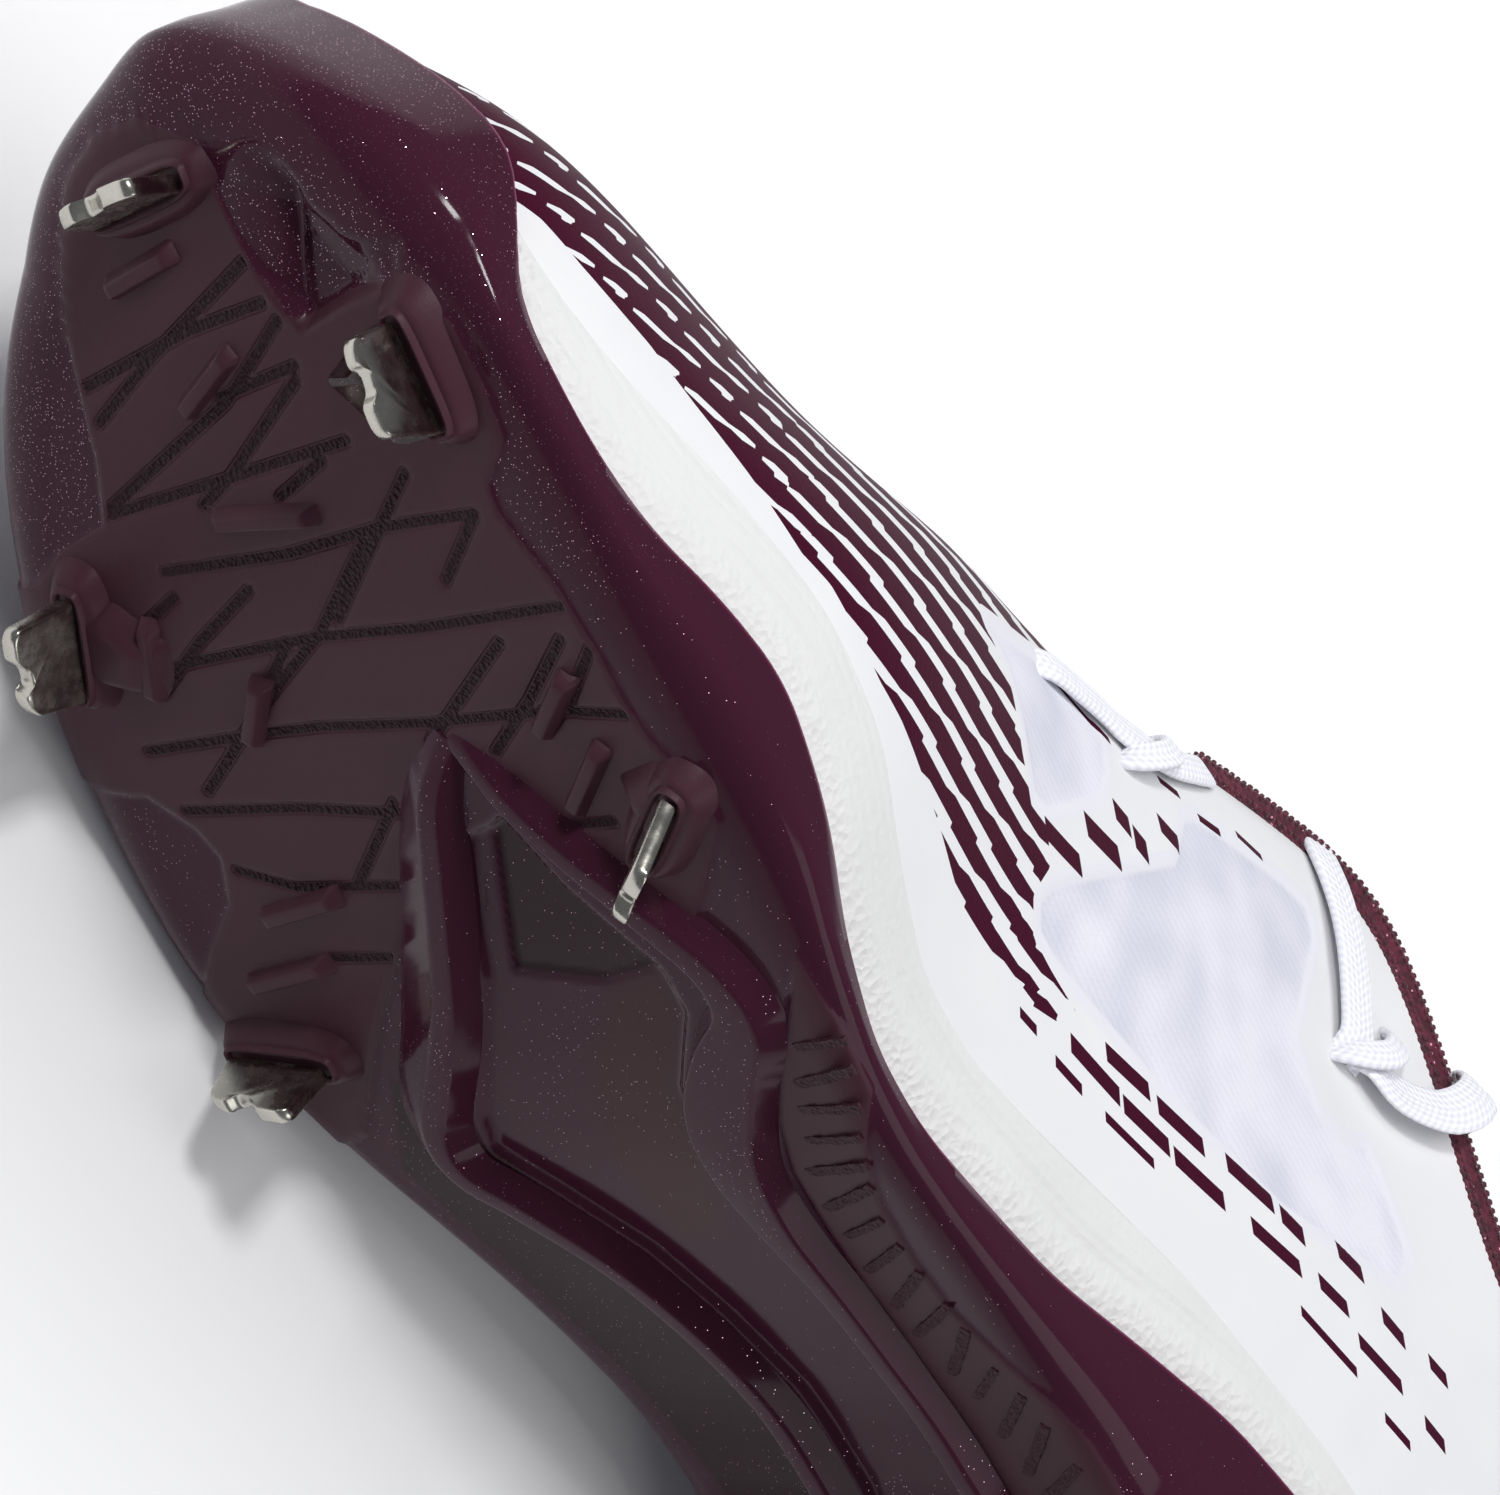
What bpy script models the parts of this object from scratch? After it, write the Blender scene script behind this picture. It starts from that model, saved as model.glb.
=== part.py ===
"""Metal-spiked baseball cleat, left shoe, lying on its inner side as the rest pose.

Every form is first worked out upright, in the last's own frame: x runs from the heel (0) to the toe,
y to the outer side, z up from the plane of the forefoot plate. Tables are in millimetres.
An empty then lays the whole shoe on its inner side, on the floor plane z = 0.
"""

import math

import bmesh
import bpy
import numpy as np
from mathutils import Euler, Matrix, Vector

MM = 0.001

# Driving dimensions, millimetres
LENGTH = 288.5
WALL = 2.0
GAP = 0.3
RIM_WALL = 1.9
PLATE_THICKNESS = 2.5
HALF_COLUMNS = 36
SPIKE_HEIGHT = 9.0
SPIKE_THICKNESS = 2.0
BOSS_HEIGHT = 3.2
RAIL_HEIGHT = 3.0
LACE_WIDTH = 5.0
LACE_THICKNESS = 1.2
INSOLE_THICKNESS = 4.0

# Rest pose: which way is down in the last's frame when the shoe lies on its inner side, on ball and heel,
# and where the last's origin then stands above the floor plane and beside the middle of the footprint
REST_DOWN = (-0.091, -0.981, 0.171)
REST_PLACE = (-143.9, 45.0, 36.9)

# Outline of the sole at its widest: place from the heel, half width to the outer and to the inner side
OUTLINE = (
    # x, outer y, inner y
    (0, -1, -1),
    (8, 19, -21),
    (25, 33, -33),
    (50, 38, -37),
    (80, 38.5, -34.5),
    (110, 38, -35),
    (140, 39, -41.5),
    (165, 42.5, -50.5),
    (190, 48, -55.5),
    (210, 48.5, -54.5),
    (230, 45.5, -49.5),
    (248, 41.5, -42.5),
    (262, 37, -34.8),
    (275, 28.5, -25),
    (283.5, 15.5, -13),
    (288.5, -1, -1),
)

# Bottom of the plate and of the footbed along the length
PROFILE = (
    # x, plate z, footbed z
    (0, 7, 28),
    (10, 3, 27),
    (25, 1, 26),
    (55, 1, 26),
    (70, 4, 26.5),
    (80, 8.5, 26.5),
    (95, 13, 26),
    (110, 12, 24),
    (125, 9, 21),
    (140, 5.5, 17.5),
    (152, 2.8, 15),
    (165, 1, 13),
    (180, 0, 11.5),
    (225, 0, 11.5),
    (240, 2, 13),
    (250, 3.8, 14),
    (262, 6.5, 16),
    (275, 10, 19),
    (284, 14, 22.5),
    (288.5, 17, 25),
)

# Heights of the moulded rim and of the seam between midsole and upper, the width of the roll
# from the plate up into the rim, and how far the rim's top leans in
RIM = (
    # x, outer rim z, inner rim z, seam z, roll width, lean
    (0, 38, 38, 47, 9, 1.6),
    (25, 40, 38, 47, 9, 1.4),
    (50, 39, 36, 46, 9, 1.2),
    (80, 35, 31, 43.5, 8, 1.0),
    (95, 31, 27, 40, 7, 0.9),
    (110, 24.5, 22, 36.5, 6, 0.8),
    (125, 17.5, 17, 31, 5.5, 0.8),
    (140, 12.5, 13, 25, 5, 0.8),
    (152, 8.5, 10.5, 20.5, 5, 0.8),
    (165, 6, 9, 18, 5.5, 0.8),
    (180, 6.5, 9.5, 19.5, 7, 0.8),
    (192, 9.5, 11.5, 22.5, 8.5, 0.8),
    (208, 12.3, 13, 23.5, 9, 0.8),
    (220, 10.5, 12.5, 22, 9, 0.8),
    (230, 8, 12, 20.5, 9, 0.8),
    (240, 8, 12, 18.5, 9, 0.9),
    (250, 9.8, 13.5, 17.5, 9, 1.0),
    (257, 12, 16, 18, 9.5, 1.2),
    (261, 16, 19, 19, 10, 1.6),
    (264, 22, 22, 21, 10.5, 2.2),
    (268, 27.5, 26, 24, 11.5, 3.0),
    (277, 32, 31, 28.5, 12, 4.6),
    (284, 34.5, 34, 31, 12, 5.6),
    (288.5, 35.5, 35.5, 32, 12, 5.6),
)

# Upper: for each station of the outline, the matching point of the collar and throat edge, how far
# the wall rises upright from the seam, how far it reaches level out of the edge, how far it drops
# below the edge, and how far it bellies out low down and high up
UPPER = (
    # x, edge x, outer edge y, inner edge y, edge z, rise, reach, drop, low belly, high belly
    (0, 7.5, -1, -1, 95, 16, 0.2, 16, 2.2, -0.5),
    (8, 10.5, 11, -13, 93, 16, 0.2, 16, 2.0, -0.5),
    (25, 23, 23.5, -24, 86, 15, 0.2, 14, 2.0, -0.5),
    (50, 48, 29, -28.5, 82.5, 14, 0.2, 14, 1.5, 0),
    (80, 76, 26.8, -25.5, 86, 17, 0.22, 18, 0.5, 0),
    (110, 104, 18.2, -17.5, 99.8, 22, 0.3, 24, 0, 0),
    (140, 126, 14.3, -13.3, 98.3, 22, 0.5, 16, 0, 0),
    (165, 147, 13, -12, 87.6, 19, 0.5, 10, 0, 0),
    (190, 165, 12.5, -11.5, 78.5, 15, 0.42, 8, 0, 0),
    (210, 180, 12, -11, 72.5, 13, 0.42, 7, 0, 0),
    (230, 192, 10.5, -9, 66, 12, 0.42, 6, 0, 0),
    (248, 199.5, 8.5, -7, 62.5, 12, 0.46, 6, 0, 0),
    (262, 203.5, 6.5, -4.8, 61, 12, 0.54, 9, 0, 0),
    (275, 206, 4.6, -2.6, 60.3, 10, 0.58, 12, 0, 0),
    (283.5, 207.2, 2.8, -0.6, 60, 8, 0.6, 14, 0, 0),
    (288.5, 207.6, 1, 1, 59.9, 7, 0.6, 15, 0, 0),
)

# Tongue: crown and half width of each cross-section, its fall to the edges and its padding
TONGUE = (
    # x, crown z, half width, fall, thickness
    (216, 51.6, 11, 5, 2.0),
    (204, 57.4, 13, 6, 2.5),
    (190, 65.4, 14.5, 6.5, 3.0),
    (165, 79.4, 15, 8, 3.5),
    (147, 88.4, 14.5, 8, 4.0),
    (128, 99.4, 12.5, 6, 4.5),
    (115, 103.8, 12, 5, 5.0),
    (105, 105.5, 12, 4.5, 5.0),
)

# Shank rails under the arch, from the apex behind the forefoot: the outer and the inner one
OUTER_RAIL = ((209, 10), (196, 20), (186, 27), (178, 32), (169, 27), (158, 20), (148, 18), (117, 15), (98, 16), (76, 19))
INNER_RAIL = ((209, 10), (195, 0), (178, -10), (168, -17), (157, -23), (149, -17), (139, -12), (120, -9), (98, -8), (76, -10))
RAIL_FOOT = 4.2
RAIL_TOP = 1.6

# Spikes: middle of the foot of the blade, direction of its width, its width and its lean
SPIKES = (
    # name, x, y, yaw degrees, width, lean forward, lean outward
    ("spike_toe", 274.8, -5, 77, 15, 4.5, 3.0),
    ("spike_front_inner", 225, -38, 22, 13.5, 3.3, 0.5),
    ("spike_rear_inner", 168.5, -41, 97, 14, 0.3, 3.0),
    ("spike_front_outer", 254, 29, 170, 12.5, 3.5, 1.5),
    ("spike_rear_outer", 199, 35.5, 48, 12.5, -2.4, 1.7),
    ("spike_heel_inner", 56, -24, 100, 14, 2.0, 1.0),
    ("spike_heel_outer", 56, 25, 80, 14, 2.0, -1.0),
    ("spike_heel_rear", 17, -1, 90, 15, -2.5, 0.0),
)

# Low ribs of the tread beside the spikes: both ends
RIBS = (
    # x, y, x, y
    (264, -16, 268, -3),
    (250, -10, 257, 1),
    (238, -12, 238, 6),
    (227, -27, 216, -32),
    (219, -14, 210, -21),
    (187, -34, 190, -19),
    (178, -42, 181, -26),
    (209, 32, 200, 22),
    (218, 32, 210, 23),
)
RIB_HEIGHT = 2.6

# Arrow-shaped pocket in the underside of the toe
TOE_POCKET = ((277, 15), (272, 17), (266, 13), (261, 10), (260, 13), (263, 20), (267, 27), (269, 25))
POCKET_DEPTH = 1.2

# Lace rows: where along the throat edge the lace goes through, and how close to the edge
LACE_PLACES = (190, 177, 163, 146, 125, 105)
LACE_EDGE = 0.9

# Collar lining: how far it stands above the upper's edge, and the place where it starts at the throat
COLLAR_START = 142
COLLAR_HEIGHT = 3.0
COLLAR_THICKNESS = 2.4

MATERIALS = {
    # name: colour, roughness, metallic
    "gloss_maroon_sole": ((0.045, 0.010, 0.022), 0.22, 0.0),
    "white_foam": ((0.83, 0.83, 0.82), 0.6, 0.0),
    "white_film": ((0.86, 0.86, 0.86), 0.45, 0.0),
    "maroon_lining": ((0.075, 0.012, 0.030), 0.7, 0.0),
    "grey_insole": ((0.35, 0.35, 0.37), 0.9, 0.0),
    "white_cord": ((0.85, 0.85, 0.86), 0.8, 0.0),
    "polished_steel": ((0.62, 0.60, 0.56), 0.18, 1.0),
}


def clear_scene():
    for thing in list(bpy.data.objects):
        bpy.data.objects.remove(thing, do_unlink=True)


def new_collection(name):
    collection = bpy.data.collections.new(name)
    bpy.context.scene.collection.children.link(collection)
    return collection


def material(name):
    colour, roughness, metallic = MATERIALS[name]
    made = bpy.data.materials.get(name) or bpy.data.materials.new(name)
    made.use_nodes = True
    shader = made.node_tree.nodes["Principled BSDF"]
    shader.inputs["Base Color"].default_value = (*colour, 1.0)
    shader.inputs["Roughness"].default_value = roughness
    shader.inputs["Metallic"].default_value = metallic
    return made


def column(table, index):
    return np.array([row[index] for row in table], float)


def along(table, index, x):
    """Value of one column of a table at x, between its rows."""
    return np.interp(x, column(table, 0), column(table, index))


class Last:
    """The closed lines of the last, all on one parameter: 0 at the heel, 0.5 at the toe, 1 back at the heel."""

    def __init__(self):
        x, outer, inner = (column(OUTLINE, i) for i in range(3))
        steps = 0.5 * (np.hypot(np.diff(x), np.diff(outer)) + np.hypot(np.diff(x), np.diff(inner)))
        half = np.concatenate([[0.0], np.cumsum(steps)])
        half = half / half[-1] / 2
        self.knots = np.concatenate([half, 1 - half[-2:0:-1]])
        self.inverse = self.spline_matrix()
        self.x = self.loop(x, x)
        self.y = self.loop(outer, inner)
        self.top = [self.loop(column(UPPER, i), column(UPPER, j)) for i, j in ((1, 1), (2, 3), (4, 4))]
        self.shape = [self.loop(column(UPPER, i), column(UPPER, i)) for i in range(5, 10)]

    def spans(self):
        return np.diff(np.append(self.knots, 1.0))

    def spline_matrix(self):
        """The periodic cubic spline's equations for the second derivatives, solved once."""
        span = self.spans()
        count = len(span)
        matrix = np.zeros((count, count))
        for i in range(count):
            matrix[i, i - 1] = span[i - 1] / 6
            matrix[i, i] = (span[i - 1] + span[i]) / 3
            matrix[i, (i + 1) % count] = span[i] / 6
        return np.linalg.inv(matrix)

    def loop(self, outer, inner):
        values = np.concatenate([outer, inner[-2:0:-1]])
        span = self.spans()
        slope = (np.roll(values, -1) - values) / span
        return values, self.inverse @ (slope - np.roll(slope, 1))

    def at(self, loop, t):
        values, bends = loop
        t = np.mod(t, 1.0)
        i = np.clip(np.searchsorted(self.knots, t, side="right") - 1, 0, len(values) - 1)
        j = (i + 1) % len(values)
        span = self.spans()[i]
        a = (self.knots[i] + span - t) / span
        b = 1 - a
        bend = ((a**3 - a) * bends[i] + (b**3 - b) * bends[j]) * span**2 / 6
        return a * values[i] + b * values[j] + bend

    def outline(self, t, inset=0.0):
        """Points of the widest outline, moved in by inset."""
        step = 1e-4
        x, y = self.at(self.x, t), self.at(self.y, t)
        dx = self.at(self.x, t + step) - self.at(self.x, t - step)
        dy = self.at(self.y, t + step) - self.at(self.y, t - step)
        length = np.hypot(dx, dy)
        return x + inset * dy / length, y - inset * dx / length

    def heights(self, t):
        """Rim and seam heights, roll width and lean at t."""
        x = np.clip(self.at(self.x, t), 0, LENGTH)
        outer_share = np.clip(0.5 + self.at(self.y, t) / 12, 0, 1)
        rim = along(RIM, 1, x) * outer_share + along(RIM, 2, x) * (1 - outer_share)
        return rim, along(RIM, 3, x), along(RIM, 4, x), along(RIM, 5, x)

    def widest(self, t, rim, roll):
        """Height of the plate's edge and of the widest line above it."""
        edge_x, _ = self.outline(t, roll)
        plate = along(PROFILE, 1, edge_x)
        return plate, plate + np.clip(0.45 * (rim - plate), PLATE_THICKNESS + 0.7, 8.0)

    def upper(self, t, v):
        """Point of the upper's outer face: v runs from 0 at the seam to 1 at the collar and throat edge."""
        rim, seam, roll, lean = self.heights(t)
        rise, reach, drop, low, high = (self.at(loop, t) for loop in self.shape)
        out_x, out_y = (a - b for a, b in zip(self.outline(t), self.outline(t, 1.0)))
        base_x, base_y = self.outline(t, lean + RIM_WALL + 0.7)
        base_z = seam + GAP
        edge_x, edge_y, edge_z = (self.at(loop, t) for loop in self.top)
        ends = np.array([base_x, base_y, base_z]), np.array([edge_x, edge_y, edge_z])
        first = ends[0] + np.array([low * out_x, low * out_y, rise])
        way = ends[0] - ends[1]
        second = ends[1] + np.array([reach * way[0] + high * out_x, reach * way[1] + high * out_y, -drop])
        u = 1 - v
        return u**3 * ends[0] + 3 * u * u * v * first + 3 * u * v * v * second + v**3 * ends[1]


LAST = Last()


def columns():
    """Parameters of the mesh columns: the same stations on the outer and on the inner side."""
    half = np.linspace(0, 0.5, HALF_COLUMNS + 1)
    return np.concatenate([half, 1 - half[-2:0:-1]])


def new_object(name, work, collection, finish):
    """Turns a bmesh in millimetres into an object in metres."""
    bmesh.ops.scale(work, vec=(MM, MM, MM), verts=work.verts)
    bmesh.ops.recalc_face_normals(work, faces=work.faces)
    if work.calc_volume(signed=True) < 0:
        bmesh.ops.reverse_faces(work, faces=work.faces)
    mesh = bpy.data.meshes.new(name)
    work.to_mesh(mesh)
    work.free()
    made = bpy.data.objects.new(name, mesh)
    collection.objects.link(made)
    if finish:
        mesh.materials.append(material(finish))
        mesh.shade_smooth()
        mesh.set_sharp_from_angle(angle=math.radians(35))
    return made


def skin(work, loops):
    """Joins closed loops of points, one after the other, with quads, and returns the rings of vertices."""
    rings = [[work.verts.new(point) for point in loop] for loop in loops]
    for low, high in zip(rings, rings[1:]):
        for i in range(len(low)):
            j = (i + 1) % len(low)
            work.faces.new((low[i], low[j], high[j], high[i]))
    return rings


def ladder(work, ring):
    """Closes a ring with one strip from heel to toe, between matching stations of both sides."""
    count = len(ring)
    for i in range(count // 2):
        rung = [ring[i], ring[i + 1], ring[-i - 1], ring[-i] if i else ring[0]]
        unique = list(dict.fromkeys(rung))
        work.faces.new(unique)


def loop_points(inset, height):
    t = columns()
    x, y = LAST.outline(t, inset)
    return np.stack([x, y, np.broadcast_to(height, x.shape)], axis=1)


def outsole_shell(collection):
    """The moulded plate with its rim rolled up round the shoe: one dish with a real wall."""
    t = columns()
    rim, _, roll, lean = LAST.heights(t)
    plate, wide = LAST.widest(t, rim, roll)
    loops = []
    for angle in np.radians((0, 25, 50, 75, 90)):
        loops.append(loop_points(roll * (1 - math.sin(angle)), plate + (wide - plate) * (1 - math.cos(angle))))
    loops.append(loop_points(0.55 * lean, 0.45 * wide + 0.55 * rim))
    loops.append(loop_points(lean, rim - 0.5))
    loops.append(loop_points(lean + 0.7, rim))
    loops.append(loop_points(lean + RIM_WALL, rim - 0.4))
    loops.append(loop_points(0.55 * lean + RIM_WALL, 0.45 * wide + 0.55 * rim))
    floor = plate + PLATE_THICKNESS
    for angle in np.radians((90, 60, 30, 0)):
        inset = RIM_WALL + (roll + 0.6 - RIM_WALL) * (1 - math.sin(angle))
        loops.append(loop_points(inset, floor + (wide - floor) * (1 - math.cos(angle))))
    work = bmesh.new()
    rings = skin(work, loops)
    ladder(work, rings[0])
    ladder(work, rings[-1])
    return new_object("outsole", work, collection, "gloss_maroon_sole")


def bottom_z(x):
    return float(along(PROFILE, 1, x))


def bottom_slope(x):
    return (bottom_z(x + 6) - bottom_z(x - 6)) / 12


def bar(work, start, end, foot, top, height):
    """A low tapered bar on the underside, from start to end, sunk 1 mm into the plate."""
    run = Vector((end[0] - start[0], end[1] - start[1], 0))
    side = Vector((-run.y, run.x, 0)).normalized()
    ahead = run.normalized()
    corners = []
    for half, level, shorten in ((foot / 2, 1.0, 0.0), (top / 2, -height, 1.0)):
        for place, sign in ((start, 1), (end, -1)):
            middle = Vector((place[0], place[1], bottom_z(place[0]) + level)) + ahead * shorten * sign
            pair = (middle + side * half, middle - side * half)
            corners.extend(pair if sign > 0 else reversed(pair))
    verts = [work.verts.new(corner) for corner in corners]
    for face in ((0, 1, 2, 3), (4, 5, 6, 7), (0, 1, 5, 4), (1, 2, 6, 5), (2, 3, 7, 6), (3, 0, 4, 7)):
        work.faces.new([verts[i] for i in face])


def rail(collection, name, path):
    """A raised shank rail that follows the underside: a trapezium swept along the path."""
    points = [Vector((x, y, bottom_z(x))) for x, y in path]
    loops = []
    for i, point in enumerate(points):
        run = points[min(i + 1, len(points) - 1)] - points[max(i - 1, 0)]
        side = Vector((-run.y, run.x, 0)).normalized()
        low = -1.0 if i in (0, len(points) - 1) else -RAIL_HEIGHT
        loops.append(
            (
                point + side * RAIL_FOOT + Vector((0, 0, 1.2)),
                point + side * RAIL_TOP + Vector((0, 0, low)),
                point - side * RAIL_TOP + Vector((0, 0, low)),
                point - side * RAIL_FOOT + Vector((0, 0, 1.2)),
            )
        )
    work = bmesh.new()
    rings = skin(work, loops)
    work.faces.new(rings[0])
    work.faces.new(rings[-1])
    return new_object(name, work, collection, None)


def boss(collection, name, x, y, yaw, width):
    """The tapered pad that carries a spike."""
    work = bmesh.new()
    made = bmesh.ops.create_cone(
        work, cap_ends=True, segments=16, radius1=1.0, radius2=0.62, depth=BOSS_HEIGHT + 1.5
    )
    length, breadth = width / 2 + 4.5, 7.5
    turn = Matrix.Rotation(math.radians(yaw), 4, "Z") @ Matrix.Diagonal((length, breadth, -1, 1))
    place = Matrix.Translation((x, y, bottom_z(x) + (1.5 - BOSS_HEIGHT) / 2))
    place[2][0] = bottom_slope(x)
    bmesh.ops.transform(work, matrix=place @ turn, verts=made["verts"])
    return new_object(name, work, collection, None)


def helper(thing):
    thing.hide_render = True
    thing.display_type = "WIRE"
    return thing


def boolean(target, operation, cutter):
    modifier = target.modifiers.new(f"{operation.lower()} {cutter.name}", "BOOLEAN")
    modifier.operation = operation
    modifier.solver = "EXACT"
    modifier.object = cutter


def outsole(shoe, helpers):
    made = outsole_shell(shoe)
    for name, path in (("outer rail", OUTER_RAIL), ("inner rail", INNER_RAIL)):
        boolean(made, "UNION", helper(rail(helpers, name, path)))
    for name, x, y, yaw, width, _, _ in SPIKES:
        boolean(made, "UNION", helper(boss(helpers, f"boss {name}", x, y, yaw, width)))
    for i, (x0, y0, x1, y1) in enumerate(RIBS):
        work = bmesh.new()
        bar(work, (x0, y0), (x1, y1), 5.0, 2.6, RIB_HEIGHT)
        boolean(made, "UNION", helper(new_object(f"rib {i + 1}", work, helpers, None)))
    work = bmesh.new()
    low = [work.verts.new((x, y, bottom_z(x) - 3)) for x, y in TOE_POCKET]
    high = [work.verts.new((x, y, bottom_z(x) + POCKET_DEPTH)) for x, y in TOE_POCKET]
    work.faces.new(low)
    work.faces.new(high)
    for i in range(len(low)):
        j = (i + 1) % len(low)
        work.faces.new((low[i], low[j], high[j], high[i]))
    boolean(made, "DIFFERENCE", helper(new_object("toe pocket", work, helpers, None)))
    return made


def midsole(shoe):
    """White foam between plate and upper: a tray with the footbed sunk between its side walls."""
    t = columns()
    rim, seam, roll, lean = LAST.heights(t)
    plate, wide = LAST.widest(t, rim, roll)
    low = plate + PLATE_THICKNESS + GAP
    base = RIM_WALL + GAP
    loops = []
    for angle in np.radians((0, 30, 60, 90)):
        inset = base + (roll + 0.9 - base) * (1 - math.sin(angle))
        loops.append(loop_points(inset, low + (wide - low) * (1 - math.cos(angle))))
    shown = np.clip((seam - rim) / 6, 0, 1)
    loops.append(loop_points(0.55 * lean + base, np.minimum(0.45 * wide + 0.55 * rim, seam - 2.0)))
    level = np.minimum(rim, seam - 1.2)
    loops.append(loop_points(lean + base, level))
    bulge = np.clip(0.35 * rim + 0.65 * seam, level + 0.3, seam - 0.6)
    loops.append(loop_points(lean + base - 0.7 * shown, bulge))
    loops.append(loop_points(lean + base + 0.1, seam - 0.1))
    foot = along(PROFILE, 2, LAST.outline(t, 9)[0])
    loops.append(loop_points(lean + base + 5.0, seam - 2.2))
    loops.append(loop_points(lean + base + 6.0, foot))
    work = bmesh.new()
    rings = skin(work, loops)
    ladder(work, rings[0])
    ladder(work, rings[-1])
    return new_object("midsole", work, shoe, "white_foam")


def insole(shoe):
    """Sockliner that lies in the footbed."""
    t = columns()
    _, _, _, lean = LAST.heights(t)
    inset = lean + RIM_WALL + GAP + 6.6
    foot = along(PROFILE, 2, LAST.outline(t, 9)[0]) + GAP
    loops = (loop_points(inset, foot), loop_points(inset, foot + INSOLE_THICKNESS))
    work = bmesh.new()
    rings = skin(work, loops)
    ladder(work, rings[0])
    ladder(work, rings[-1])
    return new_object("insole", work, shoe, "grey_insole")


def upper(shoe):
    """One hollow wall from the seam up to the collar and throat edge."""
    t = columns()
    loops = [LAST.upper(t, v).T for v in np.linspace(0, 1, 10)]
    work = bmesh.new()
    skin(work, loops)
    made = new_object("upper", work, shoe, "white_film")
    wall = made.modifiers.new("wall", "SOLIDIFY")
    wall.thickness = WALL * MM
    wall.offset = -1.0
    wall.use_even_offset = True
    return made


def tongue(shoe):
    """Padded tongue under the throat: arched cross-sections, full in the middle and thin at the edges."""
    loops = []
    for x, crown, half, fall, thick in TONGUE:
        across = np.linspace(-1, 1, 9)
        y = 0.5 + half * across
        z = crown - fall * across**2
        padding = thick * (1 - 0.6 * across**4)
        over = [(x, a, b) for a, b in zip(y, z)]
        under = [(x, a, b - c) for a, b, c in zip(y, z, padding)]
        loops.append(over + under[::-1])
    work = bmesh.new()
    rings = skin(work, loops)
    work.faces.new(rings[0])
    work.faces.new(rings[-1])
    return new_object("tongue", work, shoe, "maroon_lining")


def collar(shoe):
    """The lining's thick edge, which stands above the upper all round the collar, from throat to throat."""
    start = throat_parameter(COLLAR_START)
    t = np.linspace(-start, start, 2 * HALF_COLUMNS + 1)
    edge = np.stack([LAST.at(loop, t) for loop in LAST.top], axis=1)
    way = edge - LAST.upper(t, 0.97).T
    way = way / np.linalg.norm(way, axis=1)[:, None] + np.array([0, 0, 1.2])
    way /= np.linalg.norm(way, axis=1)[:, None]
    run = np.gradient(edge[:, :2], axis=0)
    out = np.stack([run[:, 1], -run[:, 0], 0 * run[:, 0]], axis=1)
    out /= np.linalg.norm(out, axis=1)[:, None]
    low, high = edge + way * GAP + out * GAP, edge + way * COLLAR_HEIGHT + out * GAP
    inward = out * COLLAR_THICKNESS
    work = bmesh.new()
    rings = skin(work, [(a, b, b + c, a + c) for a, b, c in zip(low, high, inward)])
    work.faces.new(rings[0])
    work.faces.new(rings[-1])
    return new_object("collar", work, shoe, "maroon_lining")


def throat_parameter(x):
    """Parameter of the outer side at which the throat edge is at x."""
    t = np.linspace(0.05, 0.49, 200)
    return float(np.interp(x, LAST.at(LAST.top[0], t), t))


def throat_edge(t):
    """Point of the edge at t and the direction of the edge, seen from the side."""
    point = Vector(LAST.upper(np.array([t]), 1.0)[:, 0])
    ahead = Vector(LAST.upper(np.array([t + 0.004]), 1.0)[:, 0])
    slope = ahead - point if ahead.x > point.x else point - ahead
    slope.y = 0
    return point, slope.normalized()


def lace_points(t):
    """Where the lace leaves its eyelet, and the place right above the edge that it passes next."""
    point = Vector(LAST.upper(np.array([t]), LACE_EDGE)[:, 0])
    edge, slope = throat_edge(t)
    face = slope.cross(edge - point)
    face = face.normalized() * (1 if face.z > 0 else -1)
    half = LACE_THICKNESS / 2
    over = COLLAR_HEIGHT + 1.7 if edge.x < COLLAR_START + 5 else 1.1
    return point + face * (half + 1.0), edge + Vector((0, 0, half + over))


def lace_run(collection, name, start, end, lift_up):
    """A flat ribbon from the eyelet at start to the one at end, over the edges and the tongue."""
    low, low_edge = lace_points(start)
    high, high_edge = lace_points(end)
    middle = (low_edge + high_edge) / 2
    spots = column(TONGUE, 0)[::-1]
    crown = float(np.interp(middle.x, spots, column(TONGUE, 1)[::-1])) + 0.7 + LACE_THICKNESS / 2
    middle.z = max(middle.z, crown)
    path = [low, low_edge, low_edge.lerp(middle, 0.5), middle, middle.lerp(high_edge, 0.5), high_edge, high]
    path[2].z += 0.25 * abs(middle.z - low_edge.z)
    path[4].z += 0.25 * abs(middle.z - high_edge.z)
    for point in path:
        point.z += lift_up
    slope = (throat_edge(start)[1] + throat_edge(end)[1]).normalized()
    loops = []
    for i, point in enumerate(path):
        run = (path[min(i + 1, len(path) - 1)] - path[max(i - 1, 0)]).normalized()
        side = (slope - run * slope.dot(run)).normalized()
        lift = side.cross(run)
        lift = lift * (1 if lift.z > 0 else -1) * LACE_THICKNESS / 2
        side = side * LACE_WIDTH / 2
        loops.append((point + side + lift, point - side + lift, point - side - lift, point + side - lift))
    work = bmesh.new()
    rings = skin(work, loops)
    work.faces.new(rings[0])
    work.faces.new(rings[-1])
    return new_object(name, work, collection, "white_cord")


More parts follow.
